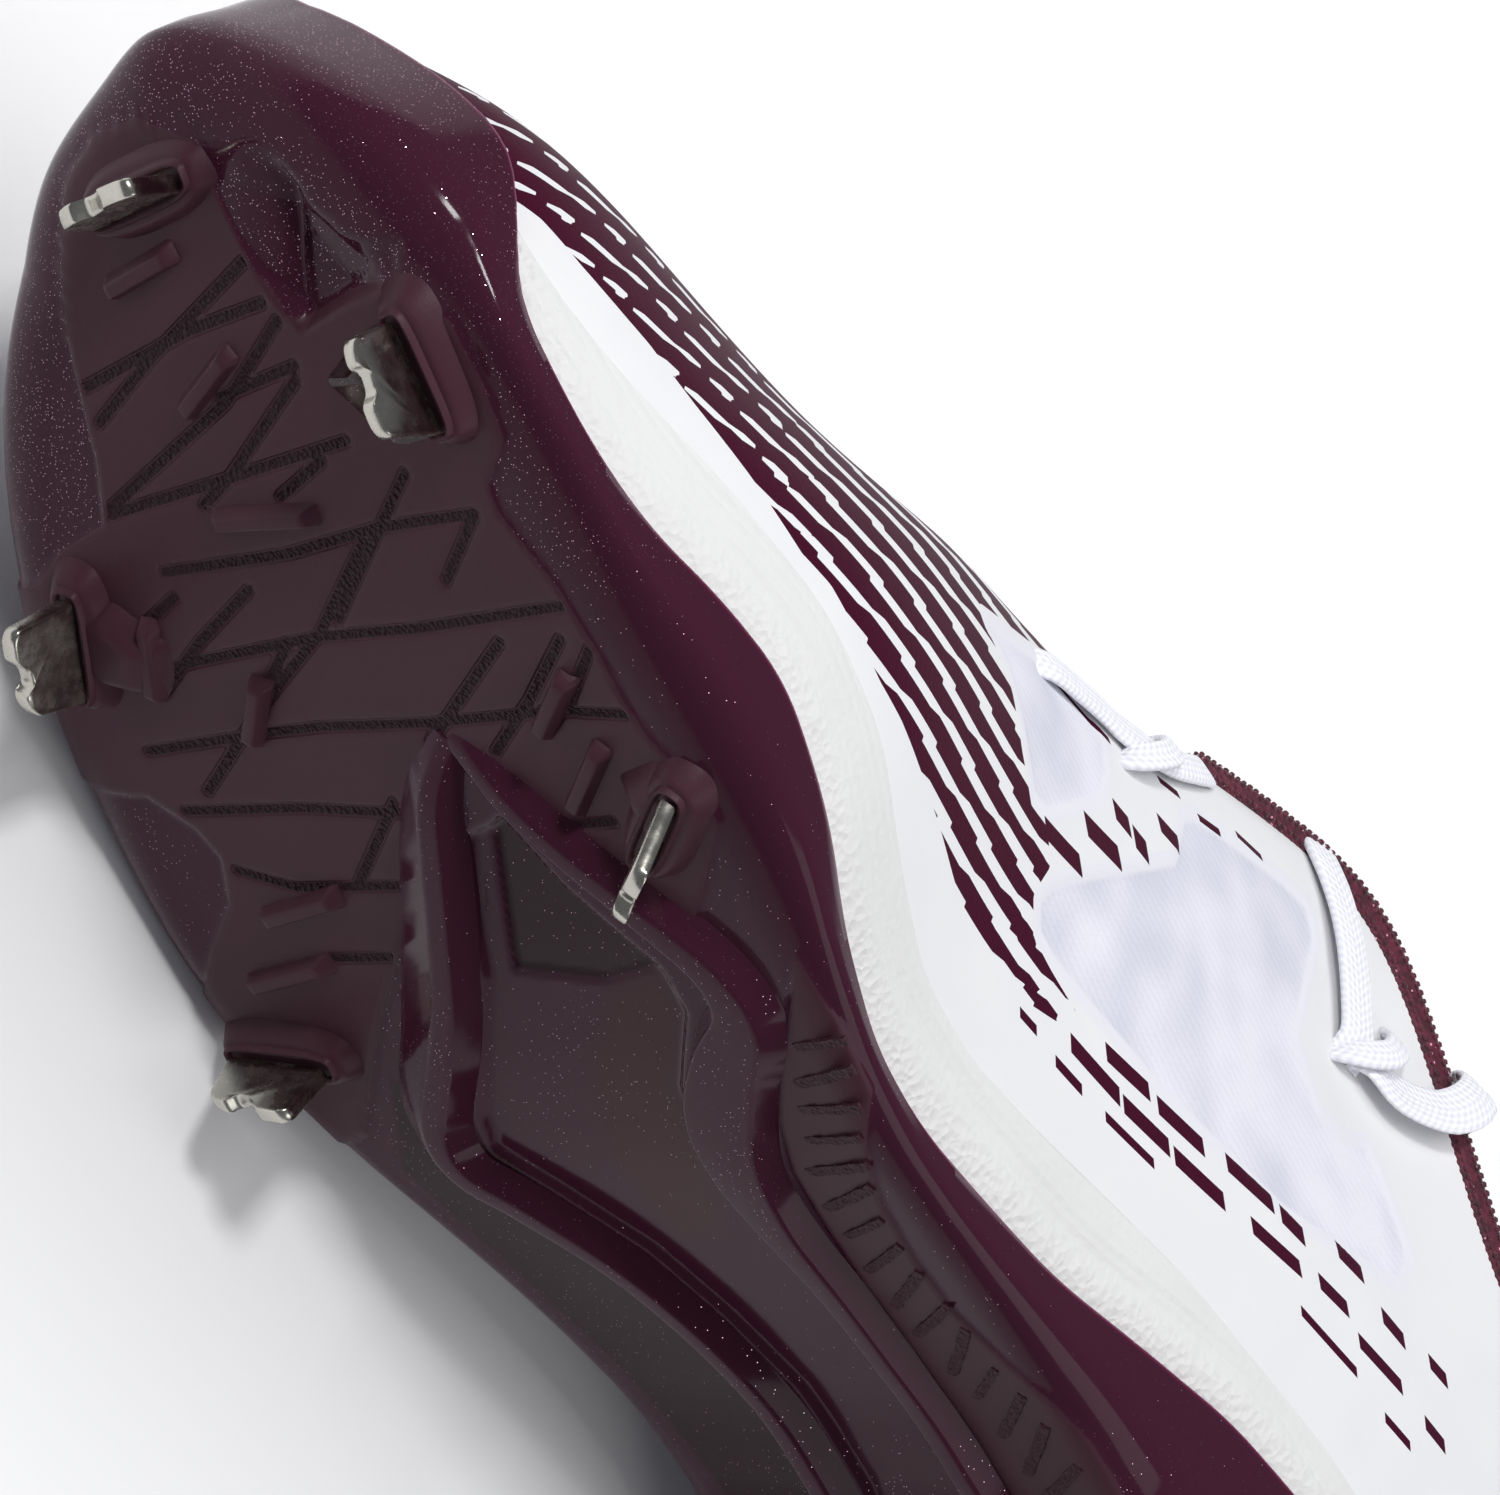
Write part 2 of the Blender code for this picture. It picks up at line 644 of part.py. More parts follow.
def laces(shoe, helpers):
    """Flat lace: a bar at the front, then a crossing between each pair of rows, joined in one solid."""
    rows = [throat_parameter(x) for x in LACE_PLACES]
    made = lace_run(shoe, "laces", rows[0], 1 - rows[0], 0.0)
    for i, (low, high) in enumerate(zip(rows, rows[1:])):
        for name, start, end in (("outer", low, 1 - high), ("inner", 1 - low, high)):
            run = lace_run(helpers, f"lace {i + 1} {name}", start, end, 0.15 + 0.15 * ((2 * i + (name == "inner")) % 3))
            boolean(made, "UNION", helper(run))
    return made


def blade(shoe, name, x, y, yaw, width, forward, outward):
    """A pressed steel spike: a thin plate with a stepped tip, leaning as it leaves its boss."""
    half = width / 2
    outline = (
        (-half, 0), (half, 0), (half - 1.2, SPIKE_HEIGHT - 0.8), (half - 2.4, SPIKE_HEIGHT),
        (1.4, SPIKE_HEIGHT), (0.2, SPIKE_HEIGHT - 1.6), (-2.4, SPIKE_HEIGHT - 2.2),
        (3.2 - half, SPIKE_HEIGHT - 0.6), (1.4 - half, SPIKE_HEIGHT - 1.2),
    )
    work = bmesh.new()
    sheet = SPIKE_THICKNESS / 2
    near = [work.verts.new((a, sheet, b)) for a, b in outline]
    far = [work.verts.new((a, -sheet, b)) for a, b in outline]
    work.faces.new(near)
    work.faces.new(far)
    for i in range(len(near)):
        j = (i + 1) % len(near)
        work.faces.new((near[i], near[j], far[j], far[i]))
    turn = Matrix.Rotation(math.radians(yaw), 4, "Z")
    lean = Matrix.Identity(4)
    lean[0][2] = forward / SPIKE_HEIGHT
    lean[1][2] = outward / SPIKE_HEIGHT
    lean[2][2] = -1
    foot = Matrix.Translation((x, y, bottom_z(x) - BOSS_HEIGHT - GAP))
    foot[2][0] = bottom_slope(x)
    bmesh.ops.transform(work, matrix=foot @ lean @ turn, verts=work.verts)
    return new_object(name, work, shoe, "polished_steel")


def rest_matrix():
    """From the last's frame to the floor: on its inner side, toe to +x, sole to +y."""
    up = -Vector(REST_DOWN).normalized()
    ahead = Vector((1, 0, 0))
    ahead = (ahead - up * up.dot(ahead)).normalized()
    turn = Matrix((ahead, up.cross(ahead), up)).to_4x4()
    return Matrix.Translation(Vector(REST_PLACE) * MM) @ turn


def under_floor(helpers, rest):
    """The block under the floor plane, given in the last's frame, that leaves small flats to rest on."""
    work = bmesh.new()
    made = bmesh.ops.create_cube(work, size=1.0)
    block = Matrix.Translation((0, 0, -30)) @ Matrix.Diagonal((500, 400, 60, 1))
    bmesh.ops.transform(work, matrix=block, verts=made["verts"])
    placed = rest.inverted()
    placed.translation = placed.translation / MM
    bmesh.ops.transform(work, matrix=placed, verts=work.verts)
    return helper(new_object("under the floor", work, helpers, None))


def main():
    clear_scene()
    shoe = new_collection("baseball_cleat")
    helpers = new_collection("cutters")
    helpers.hide_render = True
    pieces = [outsole(shoe, helpers), midsole(shoe), insole(shoe), upper(shoe), collar(shoe), tongue(shoe)]
    pieces.append(laces(shoe, helpers))
    pieces += [blade(shoe, *row) for row in SPIKES]
    rest = rest_matrix()
    floor = under_floor(helpers, rest)
    for piece in pieces:
        if piece.name in ("outsole", "midsole", "upper", "collar"):
            boolean(piece, "DIFFERENCE", floor)
    place = bpy.data.objects.new("resting place", None)
    shoe.objects.link(place)
    place.matrix_world = rest
    for thing in [*shoe.objects, *helpers.objects]:
        if thing is not place:
            thing.parent = place


main()
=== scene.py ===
"""Looks of a metal-spiked baseball cleat that lies on its inner side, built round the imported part.

Each form is worked out upright in the last's own frame, in millimetres: x from the heel to the toe, y to the
outer side, z up from the plane of the forefoot plate. `place` then lays it on the floor, in metres.
"""

import math

import bmesh
import bpy
import numpy as np
from mathutils import Matrix, Vector


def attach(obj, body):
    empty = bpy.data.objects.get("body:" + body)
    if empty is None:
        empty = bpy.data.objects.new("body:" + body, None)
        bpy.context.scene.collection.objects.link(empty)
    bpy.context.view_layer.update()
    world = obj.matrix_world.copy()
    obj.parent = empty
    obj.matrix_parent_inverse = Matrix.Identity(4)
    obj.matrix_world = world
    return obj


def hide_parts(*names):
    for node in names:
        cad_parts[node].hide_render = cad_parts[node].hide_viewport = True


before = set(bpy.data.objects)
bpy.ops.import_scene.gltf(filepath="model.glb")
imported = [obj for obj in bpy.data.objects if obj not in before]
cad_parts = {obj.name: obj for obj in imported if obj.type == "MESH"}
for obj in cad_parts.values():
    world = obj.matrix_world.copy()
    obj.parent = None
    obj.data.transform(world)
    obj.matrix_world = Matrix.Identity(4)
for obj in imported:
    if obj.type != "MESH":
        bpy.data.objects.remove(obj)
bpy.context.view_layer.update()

MM = 0.001

# The last, as in the part's source
LENGTH = 288.5
WALL = 2.0
GAP = 0.3
RIM_WALL = 1.9
PLATE_THICKNESS = 2.5
SPIKE_HEIGHT = 9.0
BOSS_HEIGHT = 3.2
LACE_THICKNESS = 1.2
LACE_WIDTH = 5.0
REST_DOWN = (-0.091, -0.981, 0.171)
REST_PLACE = (-143.9, 45.0, 36.9)

# Marks that the sole's finish reads, in mm inside a field: outside of any, matte, glossy, away from grooves
OFF, MATTE, GLOSSY, NO_GROOVE = -9.0, 3.0, -3.0, -3.0
PLAIN = {"groove": NO_GROOVE, "rim": OFF}

# Steps of the underside
PLATE_STEP = 0.45
GROOVE_DEPTH = 0.3
HATCH_STEP = 0.35
SHANK_DEPTH = 0.9
SHADED_FACET_DEPTH = 0.7
POCKET_DEPTH = 2.4
PAD_CLEARANCE = 8.5
RIB_HEIGHT = 2.1

# Outline of the sole at its widest: place from the heel, half width to the outer and to the inner side
OUTLINE = (
    # x, outer y, inner y
    (0, -1, -1), (8, 19, -21), (25, 33, -33), (50, 38, -37), (80, 38.5, -34.5), (110, 38, -35),
    (140, 39, -41.5), (165, 42.5, -50.5), (190, 48, -55.5), (210, 48.5, -54.5), (230, 45.5, -49.5),
    (248, 41.5, -42.5), (262, 37, -34.8), (275, 28.5, -25), (283.5, 15.5, -13), (288.5, -1, -1),
)

# Bottom of the plate and of the footbed along the length
PROFILE = (
    # x, plate z, footbed z
    (0, 7, 28), (10, 3, 27), (25, 1, 26), (55, 1, 26), (70, 4, 26.5), (80, 8.5, 26.5), (95, 13, 26),
    (110, 12, 24), (125, 9, 21), (140, 5.5, 17.5), (152, 2.8, 15), (165, 1, 13), (180, 0, 11.5),
    (225, 0, 11.5), (240, 2, 13), (250, 3.8, 14), (262, 6.5, 16), (275, 10, 19), (284, 14, 22.5),
    (288.5, 17, 25),
)

# Heights of the moulded rim and of the seam, width of the roll from the plate into the rim, lean of its top
RIM = (
    # x, outer rim z, inner rim z, seam z, roll width, lean
    (0, 38, 38, 47, 9, 1.6), (25, 40, 38, 47, 9, 1.4), (50, 39, 36, 46, 9, 1.2), (80, 35, 31, 43.5, 8, 1.0),
    (95, 31, 27, 40, 7, 0.9), (110, 24.5, 22, 36.5, 6, 0.8), (125, 17.5, 17, 31, 5.5, 0.8),
    (140, 12.5, 13, 25, 5, 0.8), (152, 8.5, 10.5, 20.5, 5, 0.8), (165, 6, 9, 18, 5.5, 0.8),
    (180, 6.5, 9.5, 19.5, 7, 0.8), (192, 9.5, 11.5, 22.5, 8.5, 0.8), (208, 12.3, 13, 23.5, 9, 0.8),
    (220, 10.5, 12.5, 22, 9, 0.8), (230, 8, 12, 20.5, 9, 0.8), (240, 8, 12, 18.5, 9, 0.9),
    (250, 9.8, 13.5, 17.5, 9, 1.0), (257, 12, 16, 18, 9.5, 1.2), (261, 16, 19, 19, 10, 1.6),
    (264, 22, 22, 20.5, 10.5, 2.2), (268, 26.3, 26, 22.5, 11.5, 3.0), (277, 28.8, 31, 25.5, 12, 4.6),
    (284, 31.5, 34, 28.5, 12, 5.6), (288.5, 34, 35.5, 31, 12, 5.6),
)

# Upper: matching point of the collar and throat edge, rise from the seam, reach out of the edge, drop, bellies
UPPER = (
    # x, edge x, outer edge y, inner edge y, edge z, rise, reach, drop, low belly, high belly
    (0, 7.5, -1, -1, 95, 16, 0.2, 16, 2.2, -0.5), (8, 10.5, 11, -13, 93, 16, 0.2, 16, 2.0, -0.5),
    (25, 23, 23.5, -24, 86, 15, 0.2, 14, 2.0, -0.5), (50, 48, 29, -28.5, 82.5, 14, 0.2, 14, 1.5, 0),
    (80, 76, 26.8, -25.5, 86, 17, 0.22, 18, 0.5, 0), (110, 104, 18.2, -17.5, 99.8, 22, 0.3, 24, 0, 0),
    (140, 126, 14.3, -13.3, 98.3, 22, 0.5, 16, 0, 0), (165, 147, 13, -12, 87.6, 19, 0.5, 10, 0, 0),
    (190, 165, 12.5, -11.5, 78.5, 15, 0.42, 8, 0, 0), (210, 180, 12, -11, 72.5, 13, 0.42, 7, 0, 0),
    (230, 192, 10.5, -9, 66, 12, 0.42, 6, 0, 0), (248, 199.5, 8.5, -7, 62.5, 12, 0.46, 6, 0, 0),
    (262, 203.5, 6.5, -4.8, 61, 13, 0.54, 9, 0.6, 0), (275, 206, 4.6, -2.6, 60.3, 13, 0.58, 12, 1.2, 0),
    (283.5, 207.2, 2.8, -0.6, 60, 11, 0.6, 14, 1.2, 0), (288.5, 207.6, 1, 1, 59.9, 10, 0.6, 15, 1.0, 0),
)

TONGUE = (
    # x, crown z, half width, fall, thickness
    (216, 51.6, 11, 5, 2.0), (204, 57.4, 13, 6, 2.5), (190, 65.4, 14.5, 6.5, 3.0), (165, 79.4, 15, 8, 3.5),
    (147, 88.4, 14.5, 8, 4.0), (128, 99.4, 12.5, 6, 4.5), (115, 103.8, 12, 5, 5.0), (105, 105.5, 12, 4.5, 5.0),
)

SPIKES = (
    # name, x, y, yaw degrees, width, lean forward, lean outward
    ("spike_toe", 274.8, -5, 77, 15, 4.5, 3.0),
    ("spike_front_inner", 225, -38, 22, 13.5, 3.3, 0.5),
    ("spike_rear_inner", 168.5, -41, 97, 14, 0.3, 3.0),
    ("spike_front_outer", 254, 29, 170, 12.5, 3.5, 1.5),
    ("spike_rear_outer", 199, 35.5, 48, 12.5, -2.4, 1.7),
    ("spike_heel_inner", 56, -24, 100, 14, 2.0, 1.0),
    ("spike_heel_outer", 56, 25, 80, 14, 2.0, -1.0),
    ("spike_heel_rear", 17, -1, 90, 15, -2.5, 0.0),
)

RIBS = (
    # x, y, x, y
    (264, -16, 268, -3), (250, -10, 257, 1), (238, -12, 238, 6), (227, -27, 216, -32), (219, -14, 210, -21),
    (187, -34, 190, -19), (178, -42, 181, -26), (209, 32, 200, 22), (218, 32, 210, 23),
)

# Laces on the outside of the film: width and places
STRANDS = (
    (4.2, ((175, 24.2, 64), (172.3, 26, 66.2), (167, 24.8, 69.6), (162.8, 24.1, 71.9), (159.3, 23.8, 73.4),
           (155.3, 23.5, 75.6), (150.5, 22.4, 79), (146, 20.2, 84), (142.5, 17, 88.3), (140, 12, 90.5))),
    (3.6, ((151, 19.4, 81), (151.4, 22.6, 80.4), (152.6, 25.2, 77.4), (154.6, 26, 74), (156, 25.2, 71.8),
           (156.4, 23, 71))),
    (5.6, ((125.5, 7, 104.5), (123.3, 12.5, 102.8), (121, 16.5, 99.6), (117.3, 18.9, 96.6), (113.7, 20.9, 93),
           (109.5, 22.5, 88.5), (107.3, 23.5, 85.3), (106.3, 22.4, 82.6))),
    (6.0, ((105.5, 22.2, 85), (103.9, 23.9, 85.6), (100.3, 24.4, 86.1), (97.8, 24.6, 87.2), (94.9, 25, 89.2),
           (92.5, 25.4, 91.6), (91, 25.4, 94.8), (90, 24, 98.4), (89.5, 20.4, 100.6), (89, 15, 98.8))),
    (3.8, ((108.6, 21.8, 81.8), (107.4, 24.4, 82.8), (105.4, 25.6, 85), (103.4, 25.2, 88), (102.2, 22.8, 91.4),
           (101.9, 20.4, 93))),
)

# Wedges against the pads: corners at the plate and at the top, and whether they are painted dark as shade
BUTTRESSES = (
    (((260, 27), (257.5, 19.5), (252.6, 12), (244.5, 19.5), (246, 30)),
     ((258.5, 27.5), (256.5, 24), (254, 20.5), (250.5, 24.5), (249.5, 28.5)), True),
    (((205, 31), (207, 38), (203, 43), (195, 37), (197, 31)),
     ((202.5, 34), (203.5, 37.5), (201, 39.5), (197.5, 36.5), (198.5, 34)), False),
    (((218, -36), (216, -30), (223, -25), (229, -31), (230, -37)),
     ((220.5, -36.5), (219.5, -33), (223.5, -30), (227, -33), (228, -37)), False),
)

# Eyelets: place of each along the throat, share of the upper's height; front end of the collar
LACE_PLACES = (190, 177, 163, 146, 125, 105)
LACE_EDGE = 0.9
COLLAR_START = 142

# Shank rails from the apex behind the forefoot: middle, foot to the outer and inner side, half top, height
OUTER_RAIL = (
    (210, 9, 2.5, 2.5, 0.8, 0.6), (203, 14, 3.6, 3.0, 1.2, 2.6), (196, 19, 3.8, 3.2, 1.3, 3.0),
    (188, 25.5, 4.0, 3.6, 1.5, 3.0), (180, 31.5, 4.5, 4.5, 2.0, 3.0), (173, 31.5, 5.5, 5.0, 2.8, 2.9),
    (166, 25, 6.0, 5.5, 3.8, 2.7), (158, 19, 6.2, 5.5, 4.2, 2.7), (150, 16.5, 5.2, 5.0, 3.4, 2.8),
    (141, 16, 4.2, 4.2, 2.2, 2.9), (131, 16.5, 3.4, 3.4, 1.6, 3.0), (117, 16.2, 3.2, 3.2, 1.4, 3.0),
    (98, 16.5, 3.2, 3.2, 1.4, 3.0), (84, 18, 3.0, 3.0, 1.2, 2.2), (76, 19, 2.6, 2.6, 0.8, 0.5),
)
INNER_RAIL = (
    (210, 9, 2.5, 2.5, 0.8, 0.6), (203, 3.5, 3.0, 5.0, 1.2, 2.6), (194, -1, 3.2, 7.0, 1.3, 3.0),
    (185, -5.5, 3.2, 7.5, 1.3, 3.0), (177, -10, 3.2, 7.5, 1.3, 3.0), (168, -16.5, 3.4, 7.0, 1.3, 3.0),
    (158, -24.5, 3.6, 6.0, 1.4, 3.0), (151, -25.5, 3.6, 5.0, 1.4, 3.0), (145, -20.5, 3.6, 4.5, 1.4, 3.0),
    (136, -14, 3.4, 4.2, 1.3, 3.0), (126, -10, 3.2, 4.2, 1.3, 3.0), (114, -7.5, 3.2, 4.2, 1.3, 3.0),
    (98, -7, 3.2, 4.2, 1.3, 3.0), (84, -8.5, 3.0, 3.5, 1.2, 2.2), (76, -10, 2.6, 2.6, 0.8, 0.5),
)

# Fields of the underside, seen from below (x, y)
MATTE_PLATE = (
    (279, 4), (274, 4.5), (269, 6), (264, 8), (260, 10), (259, 12), (261, 17), (264, 24), (264, 26), (261, 30),
    (258, 33.5), (251, 35.5), (245, 36), (240, 31.5), (237, 31.5), (232, 34), (228, 36), (220, 37.5), (214, 37.5),
    (209, 38.5), (206, 40), (202, 42), (198, 42), (192, 37), (185, 31), (188, 25), (196, 19), (203, 14), (209, 9),
    (203, 1), (190, -9), (182, -15.5), (175, -22.5), (167, -29.5), (156, -39), (153, -46), (160, -62), (173, -62),
    (176, -51), (182.5, -45), (189, -38), (195, -35.5), (199, -37), (203.5, -42), (206, -62), (227, -62),
    (231, -43), (235, -37), (238, -28.5), (245, -26), (252, -25), (260, -24), (266, -22), (275, -18), (280, -12),
    (282, -4),
)
HATCH_FIELD = (
    (181, 43), (170, 42.5), (161, 41), (154.5, 37), (145.5, 32.5), (136, 30.5), (127, 30), (119, 32), (112.5, 34),
    (106, 35), (90, 35), (76, 34), (76, 22), (98, 19.5), (113, 19), (131, 20), (142, 21.5), (150, 23), (158, 26.5),
    (166.5, 32.5), (176, 40),
)
SHANK_FIELD = (
    (199, 10), (190, 14), (179, 22), (173, 22), (162, 14), (150, 11), (137, 12), (117, 12), (98, 12), (78, 14),
    (78, -5), (98, -3), (114, -3), (126, -5.5), (137, -9), (147, -16), (153, -21), (158, -19), (168, -12),
    (178, -5), (188, -1), (197, 4),
)
# Middle of the hatch field, from the heel forwards
HATCH_LINE = ((80, 28.5), (98, 28), (113, 27), (128, 26), (140, 26.8), (150, 30), (159, 35), (169, 40))
# Painted shade: a sunk facet of the shank's floor painted dark, a part of the floor painted brown, and the flank beside
# the inner rail painted dark
SHADED_FACET = ((197, 7), (178.6, -1), (177, 12), (179, 21), (190, 13.5), (199, 9.5))
BROWN_SHADE_FIELD = ((177, 12), (179, 21), (173.5, 22), (162, 14.5), (150, 11), (137, 4), (137, -6), (152, -5.5), (166.7, 1.1))
INNER_FLANK_SHADE = (
    (165, -29), (150, -18.5), (137, -12), (114, -6.5), (98, -6), (76, -7), (76, -24), (98, -26), (120, -30), (150, -38),
)
# Arrow-shaped pocket under the toe: its flat floor, and the wide slope that leads down to it
TOE_POCKET = ((273.5, 16.5), (271, 17), (267, 20.5), (266, 28), (263, 27), (261.5, 19), (259, 12), (265, 13.5))
TOE_SLOPE = (
    (278, 7), (278, 11), (276, 15), (273.5, 16.5), (265, 13.5), (259, 12), (261, 10), (264.5, 7.5), (269, 6),
    (274, 4.5),
)

# Grooves of the forefoot plate (x, y), each a line of torn grain
GROOVES = (
    ((266, 6), (261.5, -2.5), (256.5, -12), (249.5, -23.5)),
    ((261.5, 7), (259, -5.5), (253.5, -24)),
    ((259.5, 8.5), (251, -3), (239.5, -27)),
    ((254.5, 9), (251.5, -4)),
    ((253, 8.5), (242.5, -6.5), (239.5, -12)),
    ((246, 13), (242.5, -6.5), (239, -27)),
    ((244, 8.5), (240, 0)),
    ((242, 20), (225.5, 1.5)),
    ((237, 28), (236, 13), (233.5, -2), (232, -22)),
    ((237, 28), (229.5, 20)),
    ((234.5, 10), (224, -2), (216, -15), (204, -32)),
    ((226, 36), (224, 13), (223.5, -2.5), (221, -23), (220, -29)),
    ((229.5, -10), (223.5, -21), (217, -31)),
    ((229, -22), (225.5, -29)),
    ((212, -9), (211.5, -17.5), (209.5, -38)),
    ((212, 40), (213, 27), (212, 7), (212, -9)),
    ((222, 33), (214.5, 24), (208, 15)),
    ((222, 24), (209.5, 6)),
    ((201.5, -37), (201.5, -19), (200.5, -4)),
    ((199, 41), (199, 34), (198, 12)),
    ((191, -10), (191, -26), (193.5, -34)),
    ((223, -7.5), (217, -15)),
    ((202, -4), (191.5, -16)),
    ((181.5, -17), (181.5, -26)),
    ((221.5, 37.5), (214.5, 30), (211, 25)),
)
GROOVE_WIDTH = 1.3

# Print and windows of the upper, seen from the side (x, z)
PRINT_FIELD = (
    (292, 10), (268, 21), (259, 23.4), (253, 23.6), (242, 25), (234, 24.9), (225, 25.2), (215, 25.1), (210, 26.4),
    (197.5, 26.3), (192, 27.1), (177, 28), (168, 27.8), (158.5, 29.8), (153, 31.3), (148, 34.5), (144.5, 36.8),
    (144.5, 39.5), (151, 38.5), (156, 38), (159.5, 41), (159.5, 46), (163, 48.5), (167, 47), (172.5, 49.5),
    (178, 53), (187, 55), (187, 57), (176, 66), (166, 76), (170, 90), (292, 90),
)
FRONT_WINDOW = (
    (185, 55.8), (174.6, 64.4), (164.2, 71.3), (160, 69), (158.3, 65.8), (158, 61.8), (164.2, 50.4), (167.4, 49),
    (171.8, 51.6), (177.1, 54.9), (181.7, 56.4),
)
REAR_WINDOW = (
    (157.6, 41.6), (157.6, 44.1), (155.5, 48.7), (143.1, 69.6), (144.3, 76.2), (142.8, 78.7), (137.4, 82.6),
    (126.4, 89.4), (121.4, 91.7), (118.5, 89.8), (117.3, 84.1), (115.2, 75.3), (111.1, 74.2), (106.5, 72.2),
    (101.3, 74.2), (97.6, 78.1), (94.8, 77.6), (85.6, 74.2), (85.2, 70), (87.9, 67.7), (105.1, 57), (129.7, 47.2),
    (151.2, 40.3), (155.2, 39.7),
)
# Print dashes between the windows and along the throat: both ends and half width
DASHES = (
    # x, z, x, z, half width
    (163.5, 48, 155.3, 51.7, 1.1), (158.4, 56.1, 150.7, 59.5, 1.2), (155.4, 63.2, 151.4, 64.4, 1.0),
    (151.0, 64.2, 147.4, 65.2, 1.1), (148.3, 70.6, 143.6, 72.2, 0.9), (169.5, 67.3, 158.9, 70.8, 0.35),
    (150.1, 76.3, 146.1, 78.6, 0.4), (142.5, 79.6, 138.3, 82.3, 0.4), (136, 85.6, 130.8, 88, 0.35),
    (138.3, 41.1, 129.6, 44.9, 0.9), (128.2, 45, 119, 48.9, 0.9), (115.8, 51.1, 106.5, 55.1, 0.9),
    (105.5, 55.4, 100.3, 57.3, 0.9), (95.7, 61.8, 90.1, 63.8, 0.85), (85.5, 63, 80.3, 64.3, 0.8),
    (76.2, 66.6, 72, 67.8, 0.75), (143, 36.4, 132.5, 40, 0.9), (132.1, 39.9, 122.9, 43.6, 0.9),
    (122.3, 43.6, 112.5, 47.6, 0.9), (108.1, 49.7, 98.5, 53.8, 0.85), (95.9, 55.6, 89.8, 57.8, 0.8),
    (86.8, 56.6, 77.6, 59.4, 0.75), (72.6, 60, 67.8, 61.2, 0.7), (151.1, 30.8, 147.3, 32.2, 0.5),
    (143, 32.9, 137.3, 34.9, 0.55), (132.9, 36.4, 123.4, 40.1, 0.5), (95.8, 50.2, 84.3, 53.5, 0.5),
    (77.9, 54, 72.3, 55.6, 0.5),
)

# Lamps
LAMPS = (
    # name, place in metres, size, power, mirrored by glossy surfaces
    ("overhead", (0.1, -0.7, 1.9), 1.8, 28, False),
    ("key", (0.8, -0.03, 1.13), 0.2, 8, True),
    ("fill", (-1.4, 0.3, 1.3), 1.0, 7, True),
)


def squared(wave, power):
    """A sine or cosine pulled towards a square wave."""
    return np.sign(wave) * np.abs(wave) ** power


def unit(rows):
    return rows / np.linalg.norm(rows, axis=-1, keepdims=True)


def column(table, index):
    return np.array([row[index] for row in table], float)


def along(table, index, x):
    """Value of one column of a table at x, with its corners rounded over a few millimetres."""
    x = np.asarray(x, float)
    spots, values = column(table, 0), column(table, index)
    return sum(np.interp(x + shift, spots, values) for shift in (-4, -2, 0, 2, 4)) / 5


